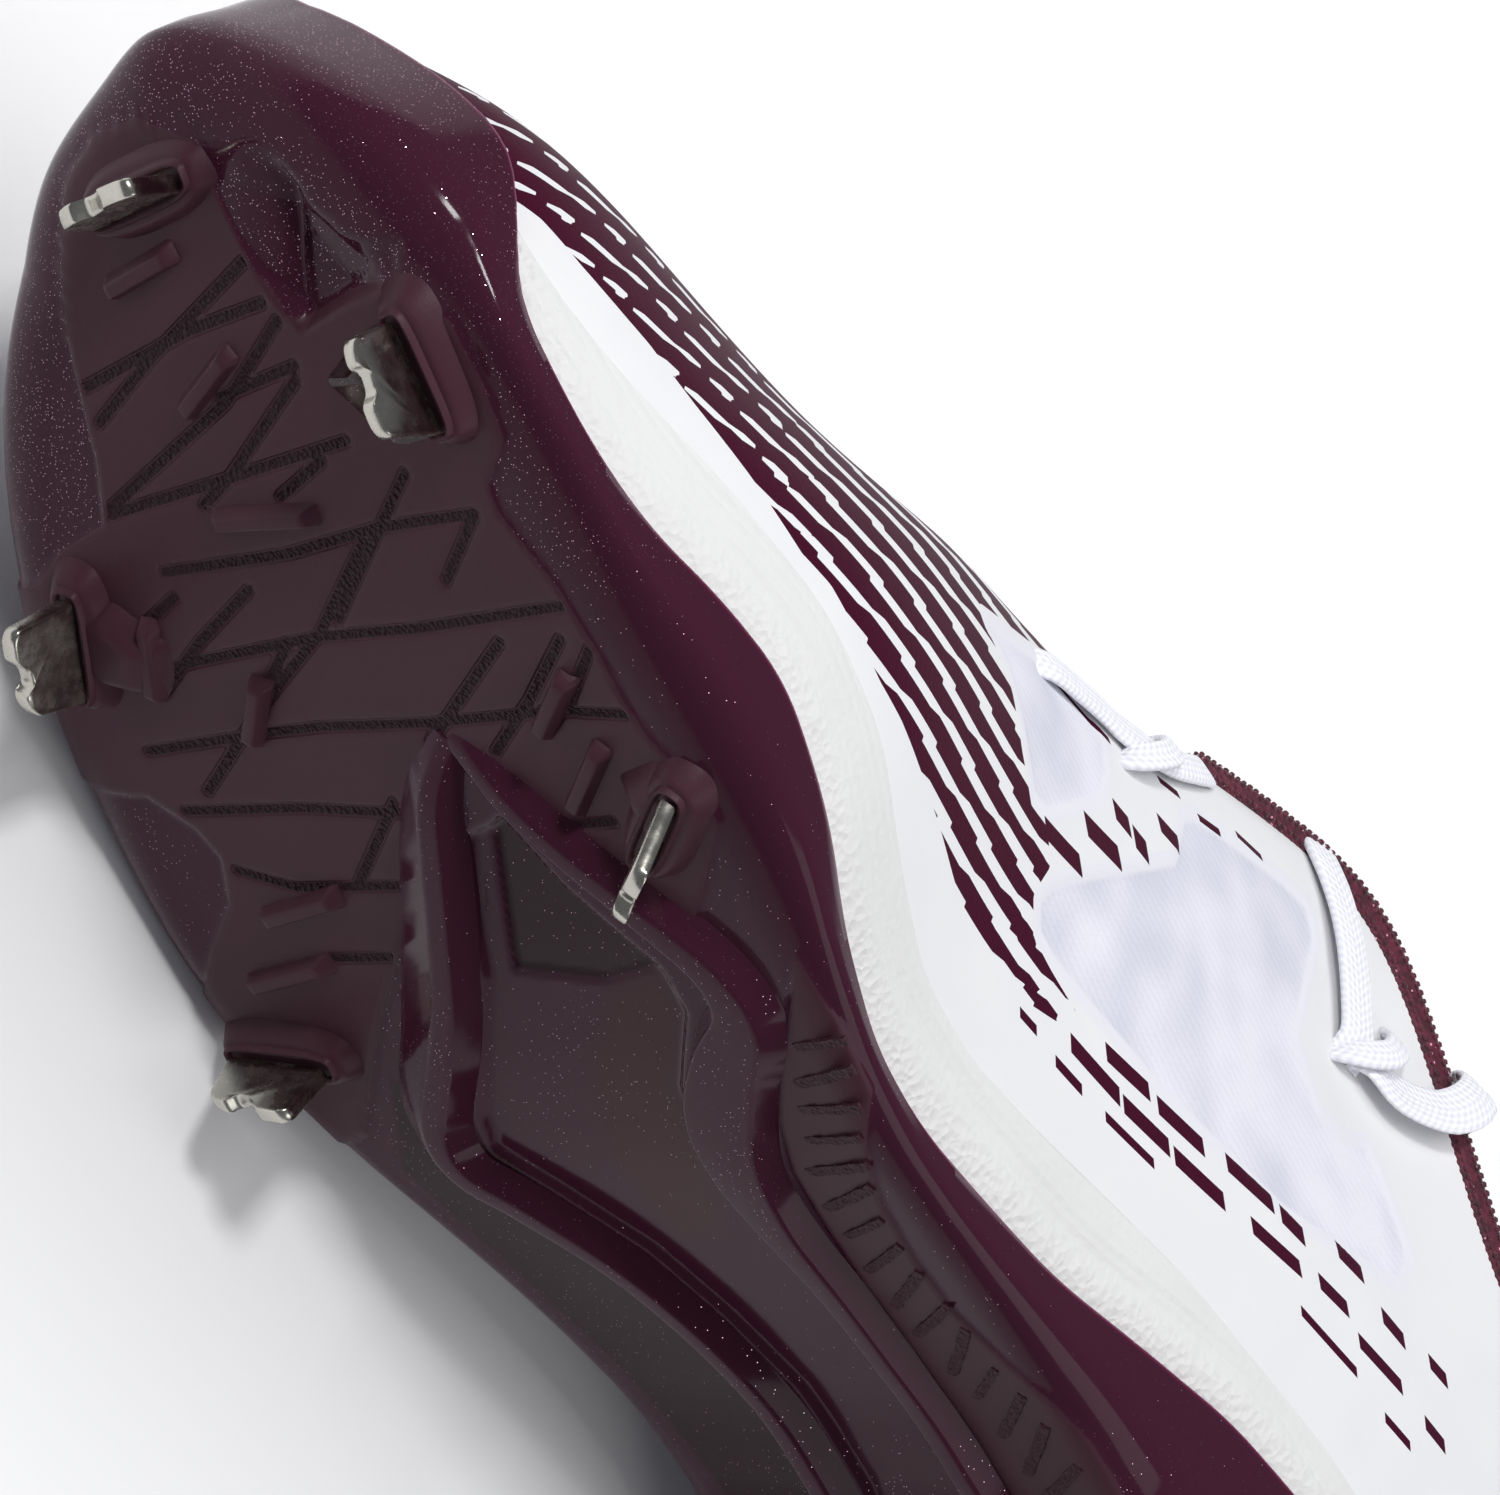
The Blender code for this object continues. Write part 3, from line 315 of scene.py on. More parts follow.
class Last:
    """The closed lines of the last, all on one parameter: 0 at the heel, 0.5 at the toe, 1 back at the heel."""

    def __init__(self):
        x, outer, inner = (column(OUTLINE, i) for i in range(3))
        steps = 0.5 * (np.hypot(np.diff(x), np.diff(outer)) + np.hypot(np.diff(x), np.diff(inner)))
        half = np.concatenate([[0.0], np.cumsum(steps)])
        half = half / half[-1] / 2
        self.knots = np.concatenate([half, 1 - half[-2:0:-1]])
        self.inverse = self.spline_matrix()
        self.x = self.loop(x, x)
        self.y = self.loop(outer, inner)
        self.top = [self.loop(column(UPPER, i), column(UPPER, j)) for i, j in ((1, 1), (2, 3), (4, 4))]
        self.shape = [self.loop(column(UPPER, i), column(UPPER, i)) for i in range(5, 10)]

    def spans(self):
        return np.diff(np.append(self.knots, 1.0))

    def spline_matrix(self):
        """The periodic cubic spline's equations for the second derivatives, solved once."""
        span = self.spans()
        count = len(span)
        matrix = np.zeros((count, count))
        for i in range(count):
            matrix[i, i - 1] = span[i - 1] / 6
            matrix[i, i] = (span[i - 1] + span[i]) / 3
            matrix[i, (i + 1) % count] = span[i] / 6
        return np.linalg.inv(matrix)

    def loop(self, outer, inner):
        values = np.concatenate([outer, inner[-2:0:-1]])
        span = self.spans()
        slope = (np.roll(values, -1) - values) / span
        return values, self.inverse @ (slope - np.roll(slope, 1))

    def at(self, loop, t):
        values, bends = loop
        t = np.mod(t, 1.0)
        i = np.clip(np.searchsorted(self.knots, t, side="right") - 1, 0, len(values) - 1)
        j = (i + 1) % len(values)
        span = self.spans()[i]
        a = (self.knots[i] + span - t) / span
        b = 1 - a
        bend = ((a**3 - a) * bends[i] + (b**3 - b) * bends[j]) * span**2 / 6
        return a * values[i] + b * values[j] + bend

    def outline(self, t, inset=0.0):
        """Points of the widest outline, moved in by inset."""
        step = 1e-4
        x, y = self.at(self.x, t), self.at(self.y, t)
        dx = self.at(self.x, t + step) - self.at(self.x, t - step)
        dy = self.at(self.y, t + step) - self.at(self.y, t - step)
        length = np.hypot(dx, dy)
        return x + inset * dy / length, y - inset * dx / length

    def out(self, t):
        """Direction straight out of the outline, level."""
        x0, y0 = self.outline(t)
        x1, y1 = self.outline(t, 1.0)
        return np.stack([x0 - x1, y0 - y1, 0 * x0], axis=-1)

    def heights(self, t):
        """Rim and seam heights, roll width and lean at t."""
        x = np.clip(self.at(self.x, t), 0, LENGTH)
        outer_share = np.clip(0.5 + self.at(self.y, t) / 12, 0, 1)
        rim = along(RIM, 1, x) * outer_share + along(RIM, 2, x) * (1 - outer_share)
        return rim, along(RIM, 3, x), along(RIM, 4, x), along(RIM, 5, x)

    def widest(self, t, rim, roll):
        """Height of the plate's edge and of the widest line above it."""
        edge_x, _ = self.outline(t, roll)
        plate = along(PROFILE, 1, edge_x)
        return plate, plate + np.clip(0.45 * (rim - plate), PLATE_THICKNESS + 0.7, 8.0)

    def upper(self, t, v):
        """Point of the upper's outer face: v runs from 0 at the seam to 1 at the collar and throat edge."""
        rim, seam, roll, lean = self.heights(t)
        rise, reach, drop, low, high = (self.at(loop, t) for loop in self.shape)
        out_x, out_y = (a - b for a, b in zip(self.outline(t), self.outline(t, 1.0)))
        base_x, base_y = self.outline(t, lean + RIM_WALL + 0.7)
        base_z = seam + GAP
        edge_x, edge_y, edge_z = (self.at(loop, t) for loop in self.top)
        ends = np.array([base_x, base_y, base_z]), np.array([edge_x, edge_y, edge_z])
        first = ends[0] + np.array([low * out_x, low * out_y, rise])
        way = ends[0] - ends[1]
        second = ends[1] + np.array([reach * way[0] + high * out_x, reach * way[1] + high * out_y, -drop])
        u = 1 - v
        return u**3 * ends[0] + 3 * u * u * v * first + 3 * u * v * v * second + v**3 * ends[1]


LAST = Last()


def rest_turn():
    """Rows of the turn from the last's frame to the floor: on its inner side, toe to +x, sole to +y."""
    up = -unit(np.array(REST_DOWN))
    ahead = unit(np.array([1.0, 0, 0]) - up * up[0])
    return np.array([ahead, np.cross(up, ahead), up])


TURN = rest_turn()


def place(points):
    """From the last's frame in millimetres to the floor in metres, flattened where the shoe rests."""
    laid = (np.asarray(points, float) @ TURN.T + np.array(REST_PLACE)) * MM
    laid[..., 2] = np.maximum(laid[..., 2], 0.0)
    return laid


def ramp(distance, width):
    """0 outside, 1 inside, over a rounded edge of that width."""
    share = np.clip(distance / width + 0.5, 0, 1)
    return share * share * (3 - 2 * share)


def line_distance(x, y, line):
    """Distance in the plane to an open line of points."""
    best = np.full(np.shape(x), 1e9)
    for (x0, y0), (x1, y1) in zip(line, line[1:]):
        run_x, run_y = x1 - x0, y1 - y0
        share = np.clip(((x - x0) * run_x + (y - y0) * run_y) / (run_x**2 + run_y**2), 0, 1)
        best = np.minimum(best, np.hypot(x - x0 - share * run_x, y - y0 - share * run_y))
    return best


def field_distance(x, y, field):
    """Distance in the plane to the edge of a field, positive inside."""
    closed = list(field) + [field[0]]
    inside = np.zeros(np.shape(x), bool)
    for (x0, y0), (x1, y1) in zip(closed, closed[1:]):
        if y0 != y1:
            crosses = (y0 > y) != (y1 > y)
            inside ^= crosses & (x < (x1 - x0) * (y - y0) / (y1 - y0) + x0)
    return np.where(inside, 1, -1) * line_distance(x, y, closed)


def bottom(x):
    return along(PROFILE, 1, x)


def spread(value, count):
    """A mark for each of the points: given once for all of them, or already for each."""
    value = np.asarray(value, float)
    return value.reshape(count, -1) if value.size > 3 else np.tile(value, (count, 1))


class Form:
    """Points in the last's frame, faces and named values of one piece, gathered from several patches."""

    def __init__(self):
        self.points, self.faces, self.finishes, self.marks, self.count = [], [], [], [], 0

    def add(self, points, faces, finish=0, **marks):
        points = np.asarray(points, float).reshape(-1, 3)
        self.points.append(points)
        self.faces.extend([tuple(int(i) + self.count for i in face) for face in faces])
        self.finishes.extend([finish] * len(faces))
        self.marks.append({name: spread(value, len(points)) for name, value in marks.items()})
        self.count += len(points)

    def sheet(self, points, wrap=False, flip=False, finish=0, **marks):
        """A grid of points, rows by columns, joined with quads; wrap closes it from the last column to the first."""
        rows, columns = points.shape[:2]
        spots = np.arange(rows * columns).reshape(rows, columns)
        if wrap:
            spots = np.concatenate([spots, spots[:, :1]], axis=1)
        quads = np.stack([spots[:-1, :-1], spots[:-1, 1:], spots[1:, 1:], spots[1:, :-1]], axis=-1).reshape(-1, 4)
        if flip:
            quads = quads[:, ::-1]
        self.add(points, quads, finish, **marks)

    def tube(self, loops, finish=0, **marks):
        """Closed loops of points joined into a tube with both ends capped."""
        loops = np.asarray(loops, float)
        start = self.count
        self.sheet(loops, wrap=True, finish=finish, **marks)
        rows, columns = loops.shape[:2]
        for ring in (range(columns - 1, -1, -1), range((rows - 1) * columns, rows * columns)):
            self.faces.append(tuple(start + i for i in ring))
            self.finishes.append(finish)

    def piece(self, name, finishes, sharp=None):
        """The finished object, with its seams closed, its faces outwards and `last` holding the last's frame."""
        points = np.concatenate(self.points)
        mesh = bpy.data.meshes.new(name)
        mesh.from_pydata(place(points).tolist(), [], self.faces)
        mesh.attributes.new("last", "FLOAT_VECTOR", "POINT").data.foreach_set("vector", points.ravel())
        names = sorted({name for marks in self.marks for name in marks})
        for mark in names:
            size = max(np.shape(marks[mark])[-1] for marks in self.marks if mark in marks)
            parts = [
                marks[mark].reshape(len(block), size) if mark in marks else np.zeros((len(block), size))
                for marks, block in zip(self.marks, self.points)
            ]
            kind, key = ("FLOAT", "value") if size == 1 else ("FLOAT_VECTOR", "vector")
            mesh.attributes.new(mark, kind, "POINT").data.foreach_set(key, np.concatenate(parts).ravel())
        for finish in finishes:
            mesh.materials.append(finish)
        mesh.polygons.foreach_set("material_index", self.finishes)
        work = bmesh.new()
        work.from_mesh(mesh)
        bmesh.ops.remove_doubles(work, verts=work.verts, dist=2e-5)
        bmesh.ops.dissolve_degenerate(work, edges=work.edges, dist=1e-6)
        bmesh.ops.recalc_face_normals(work, faces=work.faces)
        work.to_mesh(mesh)
        work.free()
        mesh.shade_smooth()
        if sharp:
            mesh.set_sharp_from_angle(angle=math.radians(sharp))
        made = bpy.data.objects.new(name, mesh)
        bpy.context.scene.collection.objects.link(made)
        return made


def stations(rear, front):
    """Parameters from heel to toe on the outer side, dense ahead of the heel, and back on the inner side."""
    half = np.concatenate([np.linspace(0, 0.17, rear, endpoint=False), np.linspace(0.17, 0.5, front + 1)])
    return np.concatenate([half, 1 - half[-2:0:-1]])


def ring(t, inset, height):
    x, y = LAST.outline(t, inset)
    return np.stack([x, y, np.broadcast_to(height, x.shape)], axis=1)


def both_sides(loop):
    """The outer side of a loop from heel to toe, and the matching points of the inner side."""
    count = len(loop) // 2 + 1
    return loop[:count], np.concatenate([loop[:1], loop[:-count:-1]])


def lid(form, loop, columns=2, **marks):
    """A sheet across a loop, from its outer to its inner side."""
    near, far = both_sides(loop)
    share = np.linspace(0, 1, columns)[None, :, None]
    form.sheet(near[:, None] * (1 - share) + far[:, None] * share, **marks)


def rounded(corners, radius, steps=4):
    """An open line of corners in the plane, with each inner corner rounded."""
    corners = [np.array(corner, float) for corner in corners]
    line = [corners[0]]
    for before, corner, after in zip(corners, corners[1:], corners[2:]):
        come, go = before - corner, after - corner
        reach = min(radius, 0.45 * np.linalg.norm(come), 0.45 * np.linalg.norm(go))
        start = corner + come / np.linalg.norm(come) * reach
        end = corner + go / np.linalg.norm(go) * reach
        for share in np.linspace(0, 1, steps):
            line.append((1 - share) ** 2 * start + 2 * share * (1 - share) * corner + share**2 * end)
    return np.array(line + [corners[-1]])


def smooth_line(points, spacing):
    """A smooth curve through rows of numbers, about evenly spaced along its first two columns."""
    points = np.asarray(points, float)
    padded = np.concatenate([2 * points[:1] - points[1:2], points, 2 * points[-1:] - points[-2:-1]])
    line = []
    for a, b, c, d in zip(padded, padded[1:], padded[2:], padded[3:]):
        count = max(1, int(round(np.hypot(*(c - b)[:2]) / spacing)))
        square, cube = 2 * a - 5 * b + 4 * c - d, 3 * b - a - 3 * c + d
        for share in np.arange(count) / count:
            line.append(0.5 * (2 * b + (c - a) * share + square * share**2 + cube * share**3))
    return np.array(line + [points[-1]])


def bosses():
    """Middle, turn and half width of each spike's pad."""
    return [(x, y, math.radians(yaw), width / 2) for _, x, y, yaw, width, _, _ in SPIKES]


def relief(x, y):
    """How far the underside stands out of the plate's plain surface, the masks of its finishes, and the marks of its
    painted shade.
    """
    matte = field_distance(x, y, MATTE_PLATE)
    hatch = field_distance(x, y, HATCH_FIELD)
    shank = field_distance(x, y, SHANK_FIELD)
    pocket = field_distance(x, y, TOE_POCKET)
    slope = field_distance(x, y, TOE_SLOPE)
    facet = np.clip(1.0 - ((x - 264) * 0.55 + (y - 17) * 0.75) / 9, 0.3, 1)
    scoop = np.clip(1 + pocket / 8.5, 0, 1) ** 1.5 * ramp(slope, 1.6)
    sunk = np.maximum(facet * ramp(pocket + 0.4, 1.5), scoop)
    groove = np.min([line_distance(x, y, line) for line in GROOVES], axis=0)
    for middle_x, middle_y, _, _ in bosses():
        groove = np.maximum(groove, PAD_CLEARANCE - np.hypot(x - middle_x, y - middle_y))
    groove = GROOVE_WIDTH / 2 - groove
    height = PLATE_STEP * ramp(matte, 0.5) - GROOVE_DEPTH * ramp(groove, 1.0) * ramp(matte - 0.8, 0.6)
    height = height + HATCH_STEP * ramp(hatch, 0.6) - SHANK_DEPTH * ramp(shank, 1.2) - POCKET_DEPTH * sunk
    matte = np.maximum(matte, hatch)
    matte = np.minimum(matte, -np.maximum(pocket, slope))
    # Painted shade: marks that colour the sunk facet and the inner rail's flank dark, and a part of the shank brown
    dark_shade = field_distance(x, y, SHADED_FACET)
    brown_shade = field_distance(x, y, BROWN_SHADE_FIELD)
    height = height - SHADED_FACET_DEPTH * ramp(dark_shade, 0.9)
    dark_shade = np.maximum(dark_shade, 0.25 * field_distance(x, y, INNER_FLANK_SHADE))
    groove = np.where(matte > 0.5, groove, NO_GROOVE)
    return height, matte, groove, np.stack([dark_shade, brown_shade, 0 * brown_shade], axis=-1)


def outsole_plate(form):
    """The moulded dish: underside with its relief, the roll up into the rim, and the inside."""
    t = stations(50, 330)
    rim, _, roll, lean = LAST.heights(t)
    plate, wide = LAST.widest(t, rim, roll)
    out = LAST.out(t)
    edge = ring(t, roll, plate)
    near, far = both_sides(edge)
    share = np.linspace(0, 1, 141)[None, :, None]
    sole = near[:, None] * (1 - share) + far[:, None] * share
    inner_z = bottom(sole[..., 0])
    blend = np.clip(6 * share[..., 0] * (1 - share[..., 0]) * 3, 0, 1)
    sole[..., 2] = sole[..., 2] * (1 - blend) + inner_z * blend
    height, matte, groove, tint = relief(sole[..., 0], sole[..., 1])
    sole[..., 2] -= height
    form.sheet(sole, flip=True, matte=matte, groove=groove, rim=OFF, tint=tint)
    rings, marks = [], []
    for angle in np.radians(np.linspace(0, 90, 17)):
        points = ring(t, roll * (1 - math.sin(angle)), plate + (wide - plate) * (1 - math.cos(angle)))
        height, matte, groove, _ = relief(points[:, 0], points[:, 1])
        normal = out * math.sin(angle) - np.array([0, 0, 1]) * math.cos(angle)
        rings.append(points + normal * height[:, None])
        marks.append((matte, groove, points[:, 2] - rim))
    _, matte, _, _ = relief(*rings[-1].T[:2])
    side = (
        # share of the lean, share of the way up, further inset, drop below the top
        (0.2, 0.25, 0, 0), (0.55, 0.55, 0, 0), (0.8, 0.8, 0, 0), (1.0, 1.0, 0, 0.6), (1.0, 1.0, 0.12, 0.25),
        (1.0, 1.0, 0.45, 0.03), (1.0, 1.0, 0.9, 0), (1.0, 1.0, 1.45, 0.03), (1.0, 1.0, 1.78, 0.25),
        (1.0, 1.0, 1.9, 0.6),
    )
    for share, up, inset, drop in side:
        level = wide * (1 - up) + (rim - drop) * up
        rings.append(ring(t, share * lean + inset, level))
        marks.append((np.minimum(matte, -0.5), NO_GROOVE + 0 * t, level - rim))
    floor = plate + PLATE_THICKNESS
    rings.append(ring(t, 0.55 * lean + RIM_WALL, 0.45 * wide + 0.55 * rim))
    for angle in np.radians((90, 60, 30, 0)):
        inset = RIM_WALL + (roll + 0.6 - RIM_WALL) * (1 - math.sin(angle))
        rings.append(ring(t, inset, floor + (wide - floor) * (1 - math.cos(angle))))
    while len(marks) < len(rings):
        marks.append((OFF + 0 * t, NO_GROOVE + 0 * t, OFF + 0 * t))
    matte, groove, above = (np.array(value) for value in zip(*marks))
    form.sheet(np.array(rings), wrap=True, matte=matte, groove=groove, rim=above)
    lid(form, rings[-1], matte=OFF, **PLAIN)


def rail(form, path):
    """A shank rail swept along its path, with flat flanks and a narrow flat top."""
    line = smooth_line(path, 1.5)
    run = unit(np.gradient(line[:, :2], axis=0))
    side = np.stack([-run[:, 1], run[:, 0]], axis=1)
    loops = []
    for (x, y, outer, inner, top, height), (side_x, side_y) in zip(line, side):
        sign = 1 if side_y > 0 else -1
        section = rounded(
            ((outer, 1.4), (outer, 0.2), (outer - 0.2, -0.1), (top, -height), (-top, -height), (0.2 - inner, -0.1),
             (-inner, 0.2), (-inner, 1.4)), 0.55, 5,
        )
        x_line = x + sign * section[:, 0] * side_x
        y_line = y + sign * section[:, 0] * side_y
        loops.append(np.stack([x_line, y_line, bottom(x_line) + section[:, 1]], axis=1))
    form.tube(loops, matte=GLOSSY, **PLAIN)


def tread_rib(form, x0, y0, x1, y1):
    """A low moulded rib: sloped flanks, a narrow flat top, both ends cut slanting."""
    start, end = np.array([x0, y0], float), np.array([x1, y1], float)
    ahead = unit(end - start)
    side = np.array([-ahead[1], ahead[0]])
    loops = []
    rise = ((0, -0.7, 1.0), (0.02, 0.0, 1.0), (0.1, 0.82, 1.0), (0.13, 0.97, 0.97), (0.17, 1, 0.95))
    fall = tuple((1 - share, tall, wide) for share, tall, wide in rise[::-1])
    for share, tall, wide in (*rise, (0.5, 1, 0.95), *fall):
        middle = start + (end - start) * share
        top = -RIB_HEIGHT * tall
        corners = (1.8, 1.2), (1.5, -0.35), (0.75, top), (-0.75, top), (-1.5, -0.35), (-1.8, 1.2)
        section = rounded(corners, 0.3, 4)
        spots = middle + section[:, :1] * wide * side
        loops.append(np.column_stack([spots, bottom(spots[:, 0]) + section[:, 1]]))
    form.tube(loops, matte=MATTE, **PLAIN)


def boss(form, x, y, turn, half):
    """The tapered pad that carries a spike, with a welt moulded round the blade."""
    angle = np.linspace(0, 2 * math.pi, 72, endpoint=False)
    loops = []
    levels = (
        # length, breadth, depth below the plate, how square the ring is
        (half + 3.6, 5.2, 1.4, 2.6), (half + 3.1, 4.7, 0.0, 2.6), (half + 2.3, 3.9, -1.2, 2.8),
        (half + 1.8, 3.3, -2.1, 3.0), (half + 1.5, 2.9, -2.45, 3.2), (half + 1.2, 2.55, -2.6, 3.4),
        (half + 1.05, 2.35, -2.65, 3.8), (half + 0.95, 2.2, -3.1, 4.2), (half + 0.8, 2.0, -3.4, 4.4),
        (half + 0.6, 1.75, -3.4, 4.8), (half + 0.4, 1.5, -3.2, 5.0), (half + 0.3, 1.35, -2.8, 5.0),
    )
    for length, breadth, depth, power in levels:
        a = squared(np.cos(angle), 2 / power) * length
        b = squared(np.sin(angle), 2 / power) * breadth
        spot_x = x + a * math.cos(turn) - b * math.sin(turn)
        spot_y = y + a * math.sin(turn) + b * math.cos(turn)
        slope = float(bottom(x + 6) - bottom(x - 6)) / 12
        loops.append(np.stack([spot_x, spot_y, float(bottom(x)) + slope * (spot_x - x) + depth], axis=1))
    form.tube(loops, matte=MATTE, **PLAIN)


def rounded_loop(corners, radius, steps=4):
    """A closed line of corners in the plane, each one rounded."""
    return rounded([corners[-1], *corners, corners[0]], radius, steps)[1:-1]


def buttress(form, foot, crest, dark_shade):
    """A faceted wedge moulded against a pad: the same corners at the plate and at its top."""
    loops = []
    for share, depth, radius in ((0, 1.4, 1.2), (0, -0.1, 1.2), (0.85, -2.6, 0.8), (1, -2.95, 0.7), (1.25, -3.0, 0.5)):
        corners = np.array(foot) * (1 - share) + np.array(crest) * share
        spots = rounded_loop(corners, radius)
        loops.append(np.column_stack([spots, bottom(spots[:, 0]) + depth]))
    # Wedges flagged in the table get the dark mark: painted shade
    form.tube(loops, matte=GLOSSY if dark_shade else MATTE, tint=(3.0 if dark_shade else -3.0, -3.0, 0.0), **PLAIN)


def outsole(finish):
    form = Form()
    outsole_plate(form)
    rail(form, OUTER_RAIL)
    rail(form, INNER_RAIL)
    for ends in RIBS:
        tread_rib(form, *ends)
    for middle_x, middle_y, turn, half in bosses():
        boss(form, middle_x, middle_y, turn, half)
    for foot, crest, dark_shade in BUTTRESSES:
        buttress(form, foot, crest, dark_shade)
    path = smooth_line(HATCH_LINE, 2.0)
    path = np.column_stack([path, bottom(path[:, 0]) - 0.35])
    ribs = torn_ribs({"Spacing": 5.0, "Length": 10.0, "Width": 1.3, "Height": 0.5, "Slant": 0.95}, path, finish)
    form.add(*ribs, matte=MATTE, groove=0.03, rim=OFF)
    return form.piece("outsole_moulded", [finish], sharp=50)


def midsole(finish):
    """White foam: a thin edge inside the rim, bulging above it, with the footbed sunk into the top."""
    t = stations(60, 260)
    rim, seam, roll, lean = LAST.heights(t)
    plate, wide = LAST.widest(t, rim, roll)
    low = plate + PLATE_THICKNESS + GAP
    base = RIM_WALL + GAP
    rings = []
    for angle in np.radians((0, 30, 60, 90)):
        inset = base + (roll + 0.9 - base) * (1 - math.sin(angle))
        rings.append(ring(t, inset, low + (wide - low) * (1 - math.cos(angle))))
    shown = np.clip((seam - rim) / 6, 0, 1)
    rings.append(ring(t, 0.55 * lean + base, np.minimum(0.45 * wide + 0.55 * rim, seam - 2.0)))
    level = np.minimum(rim, seam - 1.2)
    crease = np.interp(LAST.at(LAST.x, t), (60, 90, 125, 150, 180, 205, 235), (0.3, 0.75, 0.45, 0.7, 0.62, 0.5, 0.55))
    for share in np.linspace(0, 1, 12):
        swell = 0.75 * shown * (1 - (2 * share - 1.15) ** 2)
        swell = swell - 0.45 * shown * np.exp(-(((share - crease) / 0.09) ** 2))
        rings.append(ring(t, lean + base - swell, level + (seam - 0.1 - level) * share))
    for inset, drop in ((0.5, 0.0), (1.2, -0.2), (3.0, -1.0), (5.0, -2.2)):
        rings.append(ring(t, lean + base + inset, seam - 0.1 + drop))
    foot = along(PROFILE, 2, LAST.outline(t, 9)[0])
    rings.append(ring(t, lean + base + 6.0, foot))
    form = Form()
    above = np.array(rings)[..., 2] - level
    form.sheet(np.array(rings), wrap=True, above=above)
    for loop in (rings[0], rings[-1]):
        lid(form, loop, above=0.0)
    return form.piece("midsole_foam", [finish], sharp=60)


def insole(finish):
    """Sockliner with a rounded edge, lying in the footbed."""
    t = stations(50, 150)
    lean = LAST.heights(t)[3]
    foot = along(PROFILE, 2, LAST.outline(t, 9)[0]) + GAP
    rings = []
    for inset, up in ((7.4, 0), (6.9, 0.3), (6.7, 1.2), (6.65, 2.8), (6.9, 3.6), (7.5, 4.0), (9.0, 4.0)):
        rings.append(ring(t, lean + RIM_WALL + GAP + inset, foot + up))
    form = Form()
    form.sheet(np.array(rings), wrap=True)
    for loop in (rings[0], rings[-1]):
        lid(form, loop, 12)
    return form.piece("sockliner", [finish], sharp=60)


def upper(film, lining):
    """The film-laminated wall with its knit lining: outer skin, inner skin 2 mm inside it, and both edges."""
    t = stations(50, 250)
    heights = np.linspace(0, 1, 96)
    skin = np.stack([LAST.upper(t, v).T for v in heights])
    down = np.gradient(skin, axis=0)
    ahead = np.gradient(np.concatenate([skin[:, -1:], skin, skin[:, :1]], axis=1), axis=1)[:, 1:-1]
    normal = np.cross(ahead, down)
    normal /= np.linalg.norm(normal, axis=2)[..., None] + 1e-9
    normal *= np.sign((normal * LAST.out(t)).sum(axis=2).mean())
    x, z = skin[..., 0], skin[..., 2]
    window = np.maximum(field_distance(x, z, FRONT_WINDOW), field_distance(x, z, REAR_WINDOW))
    print_edge = np.minimum(field_distance(x, z, PRINT_FIELD), -window - 1.7)
    edge_distance = np.linalg.norm(skin - skin[-1:], axis=2)
    print_edge = np.minimum(print_edge, edge_distance - 5.0)
    relief_height = -0.35 * ramp(window, 1.2)
    outer = skin + normal * relief_height[..., None]
    form = Form()
    form.sheet(outer, wrap=True, window=window, print_edge=print_edge)
    inner_rows = np.unique(np.round(np.linspace(0, len(heights) - 1, 26)).astype(int))
    inner = skin[inner_rows] - normal[inner_rows] * WALL
    form.sheet(inner, wrap=True, flip=True, finish=1, window=OFF, print_edge=OFF)
    for row, turn in ((0, True), (-1, False)):
        middle = skin[row] - normal[row] * WALL / 2 + np.array([0, 0, 0.25 if row else -0.05])
        lip = np.stack([outer[row], middle, inner[row]])
        form.sheet(lip, wrap=True, flip=turn, window=OFF, print_edge=OFF)
    return form.piece("upper_film", [film, lining], sharp=70)


def throat_parameter(x):
    """Parameter of the outer side at which the throat edge is at x."""
    t = np.linspace(0.05, 0.49, 200)
    return float(np.interp(x, LAST.at(LAST.top[0], t), t))


def collar(finish):
    """The sock lining's thick knitted edge, a soft roll that stands above the upper all round the collar."""
    start = throat_parameter(COLLAR_START)
    t = np.linspace(-start, start, 321)
    edge = np.stack([LAST.at(loop, t) for loop in LAST.top], axis=1)
    way = edge - LAST.upper(t, 0.97).T
    way = unit(unit(way) + np.array([0, 0, 2.4]))
    run = np.gradient(edge[:, :2], axis=0)
    out = unit(np.stack([run[:, 1], -run[:, 0], 0 * run[:, 0]], axis=1))
    angle = np.linspace(0, 2 * math.pi, 20, endpoint=False)
    up = 1.7 + 1.8 * squared(np.sin(angle), 0.6)
    inward = 0.8 - 1.4 * squared(np.cos(angle), 0.6)
    loops = edge[:, None] + way[:, None] * up[None, :, None] + out[:, None] * (GAP + inward)[None, :, None]
    form = Form()
    form.tube(loops)
    rows = [loops[:, i] for i in (17, 19, 1, 3, 5, 7, 9)]
    form.add(*stitch_rows({"Spacing": 1.05, "Stitch": 0.42, "Flatness": 0.8}, rows, finish))
    return form.piece("collar_knit", [finish], sharp=60)


def tongue(finish):
    """Padded tongue under the throat: arched, full in the middle and thin at the edges."""
    line = smooth_line(TONGUE, 3.0)
    across = np.linspace(-1, 1, 33)
    loops = []
    for x, crown, half, fall, thick in line:
        y = 0.5 + half * across
        z = crown - fall * across**2
        padding = thick * (1 - 0.6 * across**4) * (1 - np.clip((np.abs(across) - 0.92) / 0.08, 0, 1) * 0.7)
        over = np.stack([np.full(33, x), y, z], axis=1)
        under = np.stack([np.full(33, x), y, z - padding], axis=1)
        loops.append(np.concatenate([over, under[::-1]]))
    form = Form()
    form.tube(loops)
    return form.piece("tongue_padded", [finish], sharp=60)


